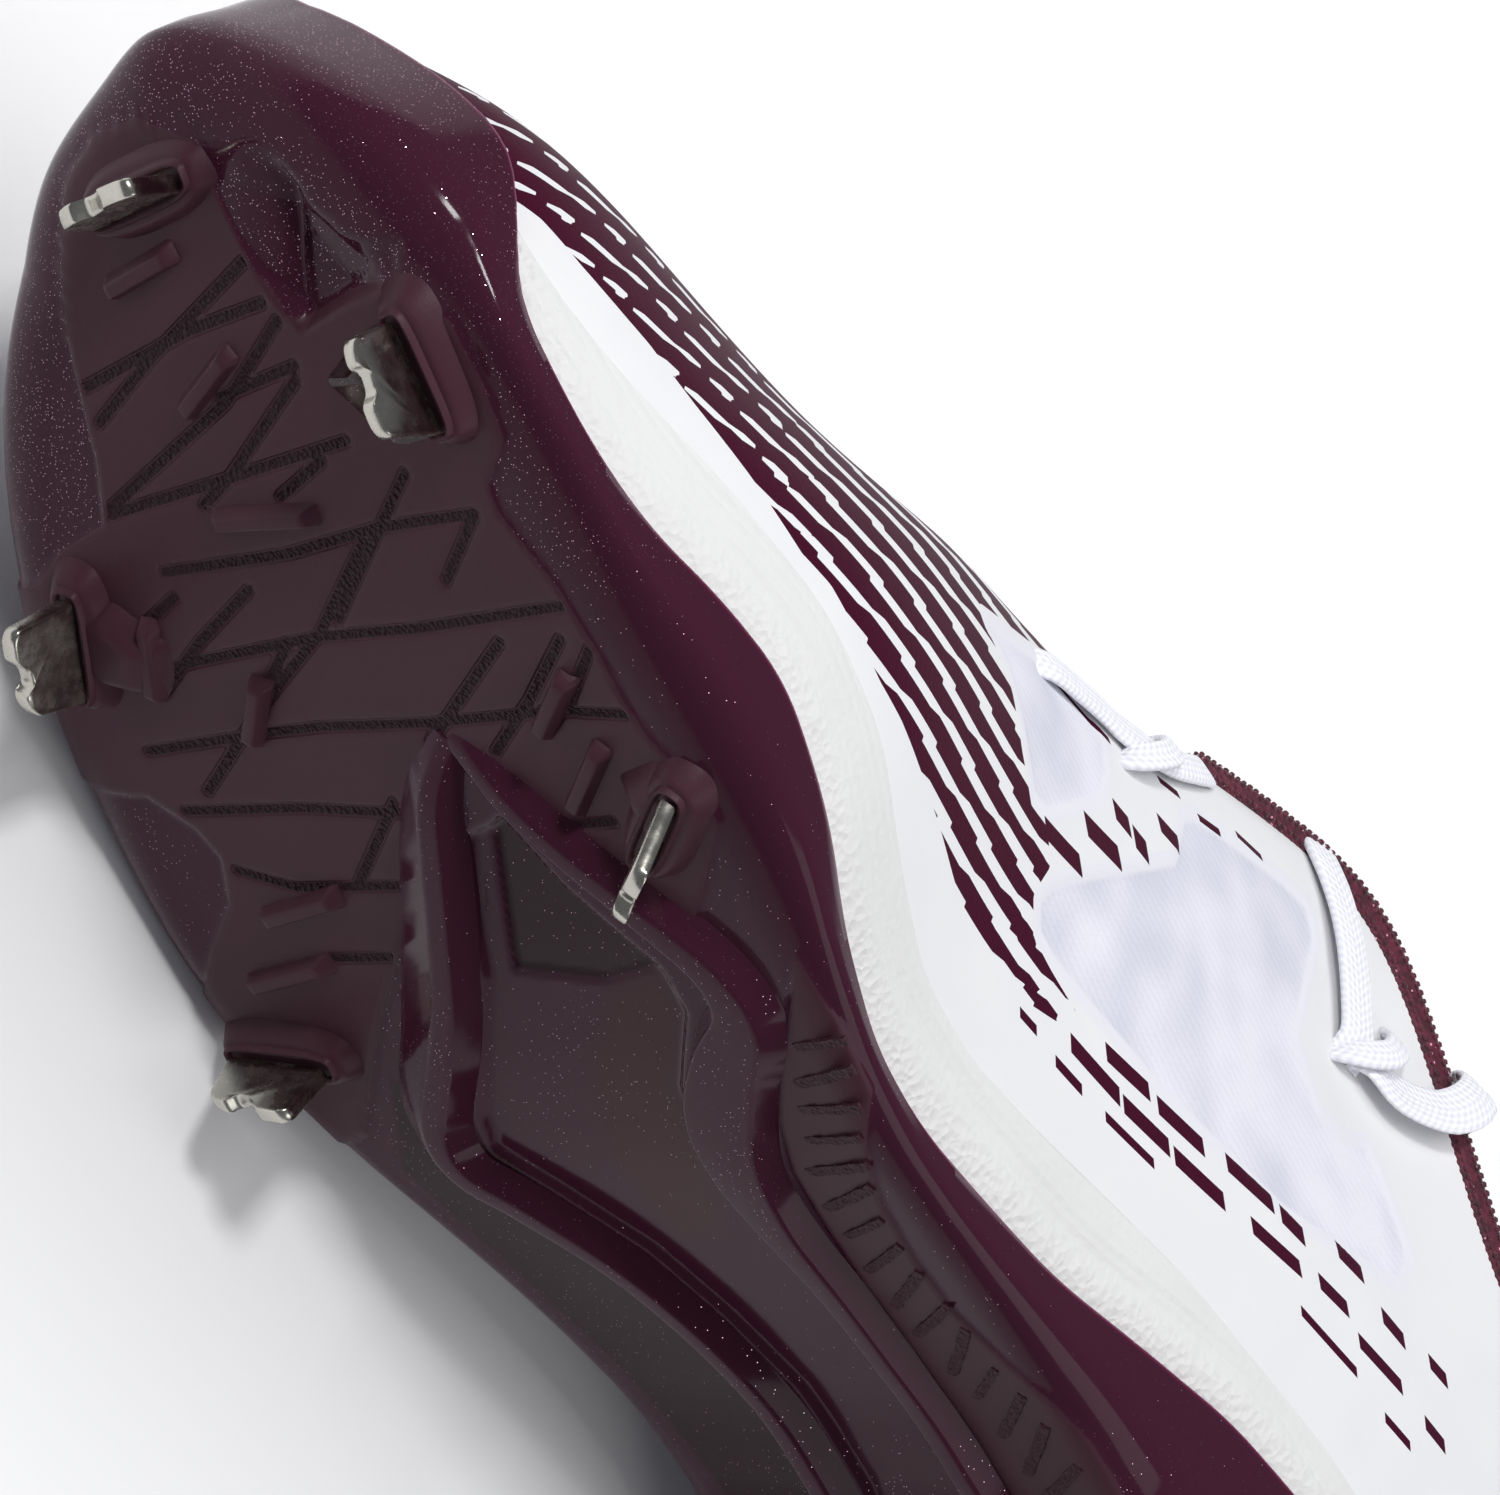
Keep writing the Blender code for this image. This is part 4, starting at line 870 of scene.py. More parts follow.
def throat_edge(t):
    """Point of the edge at t and the direction of the edge, seen from the side."""
    point = Vector(LAST.upper(np.array([t]), 1.0)[:, 0])
    ahead = Vector(LAST.upper(np.array([t + 0.004]), 1.0)[:, 0])
    slope = ahead - point if ahead.x > point.x else point - ahead
    slope.y = 0
    return point, slope.normalized()


def lace_points(t):
    """Where the lace comes out from under the film, and the place beside the edge that it passes next."""
    point = Vector(LAST.upper(np.array([t]), LACE_EDGE)[:, 0])
    edge, slope = throat_edge(t)
    face = slope.cross(edge - point)
    face = face.normalized() * (1 if face.z > 0 else -1)
    inward = Vector((0, -math.copysign(1, edge.y - 0.8), 0))
    beside = 3.8 if edge.x < COLLAR_START + 5 else 2.6
    return point - face * (WALL + 0.9), edge + inward * beside + Vector((0, 0, 0.2))


def ribbon(form, path, across, width, thickness):
    """A flat woven lace along a smooth path; across gives the direction of its width at each point of it."""
    path, across = np.asarray(path, float), np.asarray(across, float)
    line = smooth_line(np.column_stack([path, across]), 0.8)
    points, across = line[:, :3], line[:, 3:]
    run = unit(np.gradient(points, axis=0))
    side = unit(across - run * (across * run).sum(axis=1)[:, None])
    lift = np.cross(side, run)
    angle = np.linspace(0, 2 * math.pi, 24, endpoint=False)
    wide = squared(np.cos(angle), 0.45) * width / 2
    thick = squared(np.sin(angle), 0.75) * thickness / 2
    loops = points[:, None] + side[:, None] * wide[None, :, None] + lift[:, None] * thick[None, :, None]
    length = np.concatenate([[0], np.cumsum(np.linalg.norm(np.diff(points, axis=0), axis=1))])
    weave = np.stack(
        [np.broadcast_to(length[:, None], loops.shape[:2]), np.broadcast_to(wide[None], loops.shape[:2]),
         np.zeros(loops.shape[:2])], axis=-1,
    )
    form.tube(loops, weave=weave)


def lace_run(form, start, end, lift_up):
    """One crossing, over the edges and the tongue from the eyelet at start to the one at end."""
    low, low_edge = lace_points(start)
    high, high_edge = lace_points(end)
    middle = (low_edge + high_edge) / 2
    spots = column(TONGUE, 0)[::-1]
    crown = float(np.interp(middle.x, spots, column(TONGUE, 1)[::-1])) + 0.7 + LACE_THICKNESS / 2
    middle.z = max(middle.z, crown)
    path = [low, low_edge, low_edge.lerp(middle, 0.5), middle, middle.lerp(high_edge, 0.5), high_edge, high]
    path[2].z += 0.25 * abs(middle.z - low_edge.z)
    path[4].z += 0.25 * abs(middle.z - high_edge.z)
    for point in path:
        point.z += lift_up
    slope = (throat_edge(start)[1] + throat_edge(end)[1]).normalized()
    ribbon(form, path, [slope] * len(path), LACE_WIDTH, LACE_THICKNESS)


def laces(finish):
    form = Form()
    rows = [throat_parameter(x) for x in LACE_PLACES]
    lace_run(form, rows[0], 1 - rows[0], 0.0)
    for i, (low, high) in enumerate(zip(rows, rows[1:])):
        lace_run(form, low, 1 - high, 0.15 + 0.15 * ((2 * i) % 3))
        lace_run(form, 1 - low, high, 0.15 + 0.15 * ((2 * i + 1) % 3))
    for width, points in STRANDS:
        points = np.array(points, float)
        ribbon(form, points, np.cross(np.gradient(points, axis=0), (0.3, 0.8, 0.5)), width, LACE_THICKNESS)
    return form.piece("laces_woven", [finish], sharp=60)


def blade(finish, name, x, y, yaw, width, forward, outward):
    """A pressed steel spike: thin plate with rolled edges, a step in its worn tip, leaning as it leaves its pad."""
    half = width / 2
    outline = rounded(
        ((-half, 0), (-half, 0.6), (0.4 - half, SPIKE_HEIGHT - 2.2), (1.4 - half, SPIKE_HEIGHT - 1.2),
         (3.2 - half, SPIKE_HEIGHT - 0.6), (-2.4, SPIKE_HEIGHT - 2.2), (0.2, SPIKE_HEIGHT - 1.6), (1.4, SPIKE_HEIGHT),
         (half - 2.4, SPIKE_HEIGHT), (half - 1.2, SPIKE_HEIGHT - 0.8), (half - 0.1, 0.6), (half, 0)), 0.7, 4,
    )
    middle = outline.mean(axis=0)
    rings = []
    for sheet, inset in ((-1.0, 0.5), (-0.93, 0.22), (-0.7, 0.03), (0, 0), (0.7, 0.03), (0.93, 0.22), (1.0, 0.5)):
        shaped = outline + unit(middle - outline) * inset
        shaped[:, 1] = np.where(outline[:, 1] <= 0.05, 0, shaped[:, 1])
        curve = 0.25 * (shaped[:, 0] / half) ** 2
        rings.append(np.stack([shaped[:, 0], np.full(len(shaped), sheet) + curve, shaped[:, 1]], axis=1))
    turn = Matrix.Rotation(math.radians(yaw), 4, "Z")
    lean = Matrix.Identity(4)
    lean[0][2] = forward / SPIKE_HEIGHT
    lean[1][2] = outward / SPIKE_HEIGHT
    lean[2][2] = -1
    foot = Matrix.Translation((x, y, float(bottom(x)) - BOSS_HEIGHT - GAP))
    foot[2][0] = float(bottom(x + 6) - bottom(x - 6)) / 12
    whole = np.array(foot @ lean @ turn)
    rings = np.array(rings) @ whole[:3, :3].T + whole[:3, 3]
    form = Form()
    form.tube(rings)
    return form.piece(name + "_blade", [finish], sharp=40)


def hex_colour(code):
    """A linear colour from an sRGB hex value."""
    parts = [int(code[i : i + 2], 16) / 255 for i in (1, 3, 5)]
    return (*[v / 12.92 if v <= 0.04045 else ((v + 0.055) / 1.055) ** 2.4 for v in parts], 1.0)


class Nodes:
    """A node tree under construction."""

    def __init__(self, tree):
        self.tree = tree

    def add(self, kind, *values, **settings):
        """Adds a node with its settings. The values go to its sockets in order, and those in a dict to the sockets
        that it names. A node or an output is linked, a hex code is turned into its colour, the rest is set."""
        made = self.tree.nodes.new(kind if "Node" in kind else "ShaderNode" + kind)
        for key, value in settings.items():
            setattr(made, key, value)
        for place_in_order, entry in enumerate(values):
            for key, value in (entry if isinstance(entry, dict) else {place_in_order: entry}).items():
                if isinstance(value, bpy.types.Node):
                    value = next(output for output in value.outputs if output.enabled)
                if isinstance(value, bpy.types.NodeSocket):
                    self.tree.links.new(value, made.inputs[key])
                else:
                    made.inputs[key].default_value = hex_colour(value) if str(value)[0] == "#" else value
        return made


class Repeat(Nodes):
    """A Geometry Nodes tree that sets one small form again and again along paths, in the last's frame."""

    def __init__(self, name, sizes):
        super().__init__(bpy.data.node_groups.new(name, "GeometryNodeTree"))
        self.sizes = sizes
        sockets = self.tree.interface
        sockets.new_socket("Path", in_out="INPUT", socket_type="NodeSocketGeometry")
        for label in sizes:
            sockets.new_socket(label, in_out="INPUT", socket_type="NodeSocketFloat")
        sockets.new_socket("Finish", in_out="INPUT", socket_type="NodeSocketMaterial")
        sockets.new_socket("Result", in_out="OUTPUT", socket_type="NodeSocketGeometry")
        self.given = self.add("NodeGroupInput").outputs

    def along(self):
        """Points along the paths, Spacing apart."""
        curve = self.add("GeometryNodeMeshToCurve", self.given["Path"])
        return self.add("GeometryNodeResampleCurve", {"Curve": curve, "Length": self.given["Spacing"]}, mode="LENGTH")

    def grow(self, instances, paths, finish):
        """Ends the tree, runs it on the paths and gives back its points and faces."""
        real = self.add("GeometryNodeRealizeInstances", instances)
        dressed = self.add("GeometryNodeSetMaterial", {"Geometry": real, "Material": self.given["Finish"]})
        self.add("NodeGroupOutput", dressed)
        mesh = bpy.data.meshes.new(self.tree.name)
        starts = np.cumsum([0] + [len(path) for path in paths])
        edges = [(i, i + 1) for start, path in zip(starts, paths) for i in range(start, start + len(path) - 1)]
        mesh.from_pydata(np.concatenate(paths).tolist(), edges, [])
        carrier = bpy.data.objects.new(self.tree.name, mesh)
        bpy.context.scene.collection.objects.link(carrier)
        modifier = carrier.modifiers.new("repeat", "NODES")
        modifier.node_group = self.tree
        for socket in self.tree.interface.items_tree:
            if socket.in_out == "INPUT" and socket.name in self.sizes:
                modifier[socket.identifier] = self.sizes[socket.name]
            if socket.name == "Finish":
                modifier[socket.identifier] = finish
        result = bpy.data.meshes.new_from_object(carrier.evaluated_get(bpy.context.evaluated_depsgraph_get()))
        bpy.data.objects.remove(carrier)
        points = np.zeros(3 * len(result.vertices))
        result.vertices.foreach_get("co", points)
        return points.reshape(-1, 3), [tuple(face.vertices) for face in result.polygons]


def stitch_rows(sizes, paths, finish):
    """Rows of knitted stitches: a small bead for each, flattened, and none quite as large as the next."""
    made = Repeat("stitch_rows", sizes)
    points = made.along()
    bead = made.add("GeometryNodeMeshIcoSphere", {"Radius": made.given["Stitch"], "Subdivisions": 1})
    lie = made.add("FunctionNodeAlignRotationToVector", {"Vector": made.add("GeometryNodeInputTangent")}, axis="X")
    size = made.add("FunctionNodeRandomValue", {2: 0.85, 3: 1.15, "Seed": 4}, data_type="FLOAT")
    slim = made.add("Math", size, made.given["Flatness"], operation="MULTIPLY")
    scale = made.add("CombineXYZ", size, slim, slim)
    set_out = {"Points": points, "Instance": bead, "Rotation": lie, "Scale": scale}
    return made.grow(made.add("GeometryNodeInstanceOnPoints", set_out), paths, finish)


def torn_ribs(sizes, path, finish):
    """Slanted ribs with torn, crumbly edges, each a little different in length and turn."""
    made = Repeat("torn_ribs", sizes)
    points = made.along()
    block = made.add(
        "GeometryNodeMeshCube",
        {"Size": made.add("CombineXYZ", made.given["Length"], made.given["Width"], made.given["Height"]),
         "Vertices X": 9, "Vertices Y": 3, "Vertices Z": 2},
    )
    torn = made.add("TexNoise", {"Scale": 0.8, "Detail": 2.0})
    torn = made.add("VectorMath", torn.outputs["Color"], (0.5, 0.5, 0.5), operation="SUBTRACT")
    torn = made.add("VectorMath", torn, (1.2, 1.1, 0.7), operation="MULTIPLY")
    block = made.add("GeometryNodeSetPosition", {"Geometry": block, "Offset": torn})
    lie = made.add("FunctionNodeAlignRotationToVector", {"Vector": made.add("GeometryNodeInputTangent")}, axis="X")
    low = made.add("Math", made.given["Slant"], 0.12, operation="SUBTRACT")
    high = made.add("Math", made.given["Slant"], 0.12, operation="ADD")
    slant = made.add("FunctionNodeRandomValue", {2: low, 3: high, "Seed": 7}, data_type="FLOAT")
    turn = made.add("FunctionNodeEulerToRotation", made.add("CombineXYZ", {2: slant}))
    lie = made.add("FunctionNodeRotateRotation", {"Rotation": lie, "Rotate By": turn}, rotation_space="LOCAL")
    size = made.add("FunctionNodeRandomValue", {2: 0.7, 3: 1.1, "Seed": 11}, data_type="FLOAT")
    scale = made.add("CombineXYZ", size, size, 1.0)
    set_out = {"Points": points, "Instance": block, "Rotation": lie, "Scale": scale}
    return made.grow(made.add("GeometryNodeInstanceOnPoints", set_out), [path], finish)


class Finish(Nodes):
    """A material built node by node."""

    def __init__(self, name):
        self.material = bpy.data.materials.new(name)
        self.material.use_nodes = True
        super().__init__(self.material.node_tree)
        self.tree.nodes.clear()

    def end(self, **sockets):
        """The shader itself, with its sockets given by name."""
        shader = self.add("BsdfPrincipled", {key.replace("_", " "): value for key, value in sockets.items()})
        self.add("OutputMaterial", {"Surface": shader.outputs[0]})
        return self.material


def moulded_sole():
    """Moulded TPU of the plate: dark maroon, matte from an eroded mould on the fields, glossy elsewhere,
    with metallic flakes under the gloss and a thin translucent edge that shows brighter."""
    made = Finish("moulded_tpu_maroon")
    last = made.add("Attribute", attribute_name="last").outputs["Vector"]
    marks = "matte", "groove", "rim"
    matte, groove, rim = (made.add("Attribute", attribute_name=mark).outputs["Fac"] for mark in marks)
    is_matte = made.add("MapRange", matte, -0.1, 0.15, 0.0, 1.0)
    is_groove = made.add("MapRange", groove, -0.05, 0.15, 0.0, 1.0)
    # eroded mould grain about 0.25 mm, torn crumbs in the grooves about 1 mm
    grain = made.add("TexNoise", {"Vector": last, "Scale": 4.0, "Detail": 1.0, "Roughness": 0.6})
    crumbs = made.add("TexVoronoi", {"Vector": last, "Scale": 1.7, "Randomness": 1.0})
    walls = made.add("MapRange", groove, -0.25, 0.1, 1.0, 0.0)
    mottle = made.add("TexNoise", {"Vector": last, "Scale": 0.05, "Detail": 1.0})
    # flakes: one random facet in each cell of 0.33 mm, only a small spot of it bright
    cells = made.add("TexVoronoi", {"Vector": last, "Scale": 3.0, "Randomness": 1.0})
    lot = made.add("SeparateColor", cells.outputs["Color"])
    density = made.add("TexNoise", {"Vector": last, "Scale": 0.035, "Detail": 1.0})
    front = made.add("SeparateXYZ", last)
    toe_share = made.add("MapRange", front.outputs["X"], 215.0, 262.0, 0.0, 0.5)
    limit = made.add("Math", density, toe_share, operation="ADD")
    limit = made.add("MapRange", limit, 0.45, 1.05, 0.06, 0.7)
    chosen = made.add("Math", lot, limit, operation="LESS_THAN")
    spot = made.add("Math", cells, 0.17, operation="LESS_THAN")
    flake = made.add("Math", chosen, spot, operation="MULTIPLY")
    glossy_only = made.add("Math", 1.0, is_matte, operation="SUBTRACT")
    flake = made.add("Math", flake, glossy_only, operation="MULTIPLY")
    tilt = made.add("VectorMath", cells.outputs["Color"], (0.5, 0.5, 0.5), operation="SUBTRACT")
    tilt = made.add("VectorMath", tilt, {"Scale": 0.45}, operation="SCALE")
    matte_colour = made.add("Mix", mottle, {6: "#3F252E", 7: "#472A34"}, data_type="RGBA")
    groove_colour = made.add("Mix", is_groove, {6: matte_colour, 7: "#332026"}, data_type="RGBA")
    edge = made.add("MapRange", rim, -0.9, -0.1, 0.0, 0.8)
    gloss_colour = made.add("Mix", edge, {6: "#3C1A29", 7: "#741A4C"}, data_type="RGBA")
    tint = made.add("SeparateXYZ", made.add("Attribute", attribute_name="tint").outputs["Vector"])
    # Painted shade: near black over the sunk facet, the inner rail's flank and the flagged wedge
    dark_shade = made.add("MapRange", tint.outputs["X"], 0.0, 0.25, 0.0, 1.0)
    # Painted shade: brown over a part of the shank's floor
    brown_shade = made.add("MapRange", tint.outputs["Y"], 0.0, 4.0, 0.0, 1.0)
    gloss_colour = made.add("Mix", brown_shade, {6: gloss_colour, 7: "#3E1C20"}, data_type="RGBA")
    gloss_colour = made.add("Mix", dark_shade, {6: gloss_colour, 7: "#260E14"}, data_type="RGBA")
    colour = made.add("Mix", is_matte, {6: gloss_colour, 7: groove_colour}, data_type="RGBA")
    colour = made.add("Mix", flake, {6: colour, 7: "#C9A3B8"}, data_type="RGBA")
    rough = made.add("MapRange", is_matte, 0.0, 1.0, 0.1, 0.4)
    rough = made.add("Math", rough, made.add("Math", is_groove, 0.14, operation="MULTIPLY"), operation="ADD")
    fine = made.add("Math", grain, is_matte, operation="MULTIPLY")
    rough_floor = made.add("Math", crumbs, is_groove, operation="MULTIPLY")
    bump = made.add("Bump", {"Strength": 0.35, "Distance": 0.00006, "Height": fine})
    bump = made.add("Bump", {"Strength": 1.0, "Distance": 0.0007, "Height": rough_floor, "Normal": bump})
    bump = made.add("Bump", {"Strength": 1.0, "Distance": 0.0003, "Height": walls, "Normal": bump})
    turned = made.add("VectorMath", tilt, bump, operation="ADD")
    turned = made.add("VectorMath", turned, operation="NORMALIZE")
    normal = made.add("Mix", flake, {4: bump, 5: turned}, data_type="VECTOR")
    return made.end(Base_Color=colour, Roughness=rough, Metallic=flake, Normal=normal, Specular_IOR_Level=0.11)


def eva_foam():
    """Moulded EVA foam with a painted skin: white, with a leathery grain of about 0.8 mm low down and fine ribs
    1.6 mm apart above it, both softened by the paint."""
    made = Finish("eva_foam_white")
    last = made.add("Attribute", attribute_name="last").outputs["Vector"]
    above = made.add("Attribute", attribute_name="above").outputs["Fac"]
    bent = made.add("TexNoise", {"Vector": last, "Scale": 0.5, "Detail": 1.0})
    shift = made.add("VectorMath", bent.outputs["Color"], (1.2, 1.2, 1.2), last, operation="MULTIPLY_ADD")
    grain = made.add("TexVoronoi", {"Vector": shift, "Scale": 0.85})
    soft = made.add("TexNoise", {"Vector": last, "Scale": 0.08, "Detail": 1.0})
    ribs = made.add("Math", above, 0.8, operation="PINGPONG")
    high = made.add("MapRange", above, 4.5, 6.5, 0.0, 1.0)
    low = made.add("MapRange", above, 3.0, 6.0, 1.0, 0.25)
    grain = made.add("Math", grain, low, operation="MULTIPLY")
    ribs = made.add("Math", ribs, high, operation="MULTIPLY")
    colour = made.add("Mix", soft, {6: "#DDDDDC", 7: "#D6D6D5"}, data_type="RGBA")
    bump = made.add("Bump", {"Strength": 0.5, "Distance": 0.0006, "Height": grain})
    bump = made.add("Bump", {"Strength": 0.35, "Distance": 0.0003, "Height": ribs, "Normal": bump})
    return made.end(Base_Color=colour, Roughness=0.5, Normal=bump)


def film_upper():
    """TPU film fused over mesh: white, printed with maroon stripes, with see-through mesh windows of a cool
    white and a smooth welded border round each."""
    made = Finish("tpu_film_over_mesh")
    last = made.add("Attribute", attribute_name="last").outputs["Vector"]
    marks = "window", "print_edge"
    window, print_edge = (made.add("Attribute", attribute_name=mark).outputs["Fac"] for mark in marks)
    spot = made.add("SeparateXYZ", last)
    x, z = spot.outputs["X"], spot.outputs["Z"]
    # stripes 4.25 mm apart that climb backwards; the gaps between them pinch every few millimetres
    slope = made.add("Math", x, 0.27, -54.0 - 20.8, operation="MULTIPLY_ADD")
    ahead = made.add("Math", x, 235.0, operation="SUBTRACT")
    ahead = made.add("Math", ahead, 0.0, operation="MAXIMUM")
    ahead = made.add("Math", ahead, 2.0, operation="POWER")
    level = made.add("Math", z, slope, operation="ADD")
    level = made.add("Math", ahead, 0.004, level, operation="MULTIPLY_ADD")
    row = made.add("Math", level, 4.25, operation="DIVIDE")
    number = made.add("Math", row, operation="FLOOR")
    part = made.add("Math", row, number, operation="SUBTRACT")
    offset = made.add("Math", part, 4.25, -2.125, operation="MULTIPLY_ADD")
    shifted = made.add("Math", number, 7.3, x, operation="MULTIPLY_ADD")
    shifted = made.add("Math", offset, 1.5, shifted, operation="MULTIPLY_ADD")
    near_end = made.add("Math", shifted, 8.25, operation="PINGPONG")
    turn = made.add("Math", shifted, 16.5, 0.0, operation="WRAP")
    turn = made.add("Math", turn, 10.8, operation="SUBTRACT")
    turn = made.add("Math", turn, operation="ABSOLUTE")
    end = made.add("Math", near_end, turn, operation="MINIMUM")
    step = made.add("MapRange", near_end, 3.4, 4.6, -0.32, 0.32)
    closing = made.add("MapRange", x, 226.0, 205.0, -0.7, 2.2)
    point = made.add("Math", end, closing, operation="ADD")
    point = made.add("Math", point, 0.6, operation="MULTIPLY")
    widest = made.add("MapRange", x, 240.0, 160.0, 0.5, 0.9)
    rear = made.add("MapRange", x, 162.0, 140.0, 0.0, 1.0)
    widest = made.add("Math", rear, 0.5, widest, operation="MULTIPLY_ADD")
    gap = made.add("Math", point, widest, operation="MINIMUM")
    break_up = made.add("MapRange", end, 0.1, 0.9, 1.2, 0.0)
    gap = made.add("Math", rear, break_up, gap, operation="MULTIPLY_ADD")
    # plain maroon over the middle of the toe
    aside = made.add("Math", spot.outputs["Y"], 4.0, operation="SUBTRACT")
    aside = made.add("Math", aside, operation="ABSOLUTE")
    cap = made.add("MapRange", aside, 16.0, 9.0, 0.0, 2.0)
    toe = made.add("MapRange", x, 222.0, 232.0, 0.0, 1.0)
    cap = made.add("Math", cap, toe, operation="MULTIPLY")
    gap = made.add("Math", gap, cap, operation="SUBTRACT")
    offset = made.add("Math", offset, step, operation="ADD")
    apart = made.add("Math", offset, operation="ABSOLUTE")
    stripe = made.add("Math", apart, gap, operation="GREATER_THAN")
    within = made.add("Math", print_edge, 0.0, operation="GREATER_THAN")
    maroon = made.add("Math", stripe, within, operation="MULTIPLY")
    for x0, z0, x1, z1, half in DASHES:
        length = math.hypot(x1 - x0, z1 - z0)
        way = ((x1 - x0) / length, 0.0, (z1 - z0) / length)
        from_middle = made.add("VectorMath", last, ((x0 + x1) / 2, 0.0, (z0 + z1) / 2), operation="SUBTRACT")
        run = made.add("VectorMath", from_middle, way, operation="DOT_PRODUCT")
        side = made.add("VectorMath", from_middle, (-way[2], 0.0, way[0]), operation="DOT_PRODUCT")
        slanted = made.add("Math", side, -0.7, run, operation="MULTIPLY_ADD")
        near_end = made.add("Math", slanted, 0.0, length / 2 - 0.3 * half, operation="COMPARE")
        near_line = made.add("Math", side, 0.0, half, operation="COMPARE")
        dash = made.add("Math", near_end, near_line, operation="MULTIPLY")
        maroon = made.add("Math", maroon, dash, operation="MAXIMUM")
    is_window = made.add("MapRange", window, -0.1, 0.5, 0.0, 1.0)
    border = made.add("MapRange", window, -1.9, -1.5, 0.0, 1.0)
    # mesh of 0.5 mm under the film, drawn at 0.7 mm so that it shows
    turned = made.add("Mapping", {"Vector": last, "Rotation": (0.3, 0.5, 0.6), "Scale": (1.45, 1.45, 1.45)})
    mesh = made.add("TexVoronoi", {"Vector": turned, "Scale": 1.0, "Randomness": 0.15})
    cloud = made.add("TexNoise", {"Vector": last, "Scale": 0.09, "Detail": 1.0})
    white = made.add("Mix", cloud, {6: "#E0E0E1", 7: "#DADADC"}, data_type="RGBA")
    framed = made.add("Mix", border, {6: white, 7: "#DBDBE2"}, data_type="RGBA")
    # the mesh shows through faintly, in courses 1 mm apart
    course = made.add("TexWave", {"Vector": last, "Scale": 0.31, "Distortion": 2.5, "Detail": 1.0}, bands_direction="Z")
    shown = made.add("Math", course.outputs["Fac"], 0.1, cloud, operation="MULTIPLY_ADD")
    shown = made.add("MapRange", shown, 0.35, 0.75, 0.0, 1.0)
    veil = made.add("Mix", shown, {6: "#C9C9D5", 7: "#DDDDE6"}, data_type="RGBA")
    plain = made.add("Mix", is_window, {6: framed, 7: veil}, data_type="RGBA")
    colour = made.add("Mix", maroon, {6: plain, 7: "#3E0F24"}, data_type="RGBA")
    rough = made.add("MapRange", is_window, 0.0, 1.0, 0.5, 0.75)
    strength = made.add("MapRange", is_window, 0.0, 1.0, 0.25, 1.0)
    relief_height = made.add("Math", mesh, strength, operation="MULTIPLY")
    bump = made.add("Bump", {"Strength": 0.4, "Distance": 0.0002, "Height": relief_height})
    return made.end(Base_Color=colour, Roughness=rough, Normal=bump, Specular_IOR_Level=0.04)


def lining_knit():
    """Knitted polyester lining: dark maroon, dull, with fine wales 1 mm apart."""
    made = Finish("polyester_knit_maroon")
    last = made.add("Attribute", attribute_name="last").outputs["Vector"]
    wales = made.add("TexWave", {"Vector": last, "Scale": 0.32, "Distortion": 1.2, "Detail": 1.0})
    colour = made.add("Mix", wales.outputs["Fac"], {6: "#3A1420", 7: "#55202F"}, data_type="RGBA")
    bump = made.add("Bump", {"Strength": 0.6, "Distance": 0.0003, "Height": wales.outputs["Fac"]})
    return made.end(Base_Color=colour, Roughness=0.85, Normal=bump, Sheen_Weight=0.25)


def sparkle_knit():
    """Knit of dark maroon yarn with a lurex thread: raised stitches, some of them with a pale speck that is partly the
    lurex's own colour and partly a painted glint.
    """
    made = Finish("lurex_knit_maroon")
    last = made.add("Attribute", attribute_name="last").outputs["Vector"]
    # specks of lurex 0.3 mm across in cells of 0.7 mm, coloured pale: partly the thread's own colour, partly painted
    # glint
    cells = made.add("TexVoronoi", {"Vector": last, "Scale": 1.4, "Randomness": 1.0})
    lot = made.add("SeparateColor", cells.outputs["Color"])
    lit = made.add("Math", lot, 0.16, operation="LESS_THAN")
    small = made.add("Math", cells, 0.24, operation="LESS_THAN")
    lurex_and_glint = made.add("Math", lit, small, operation="MULTIPLY")
    base = made.add("Mix", lot.outputs[1], {6: "#3A0F1E", 7: "#5E1A30"}, data_type="RGBA")
    colour = made.add("Mix", lurex_and_glint, {6: base, 7: "#D692A6"}, data_type="RGBA")
    bump = made.add("Bump", {"Strength": 0.5, "Distance": 0.0002, "Height": cells}, invert=True)
    return made.end(Base_Color=colour, Roughness=0.6, Normal=bump, Sheen_Weight=0.2)


def woven_lace():
    """Flat polyester lace, woven tubular: white, in slanted stitches about 1 mm apart that meet at the middle."""
    made = Finish("polyester_lace_white")
    weave = made.add("Attribute", attribute_name="weave").outputs["Vector"]
    spot = made.add("SeparateXYZ", weave)
    across = made.add("Math", spot.outputs["Y"], operation="ABSOLUTE")
    slanted = made.add("Math", across, 0.6, spot.outputs["X"], operation="MULTIPLY_ADD")
    pick = made.add("Math", slanted, 0.5, operation="PINGPONG")
    warp = made.add("Math", spot.outputs["Y"], 0.45, operation="PINGPONG")
    height = made.add("Math", pick, warp, operation="ADD")
    tone = made.add("MapRange", height, 0.1, 0.8, 0.0, 1.0)
    colour = made.add("Mix", tone, {6: "#DEDEE8", 7: "#F6F6FA"}, data_type="RGBA")
    bump = made.add("Bump", {"Strength": 0.7, "Distance": 0.0003, "Height": height})
    return made.end(Base_Color=colour, Roughness=0.8, Normal=bump, Sheen_Weight=0.15)


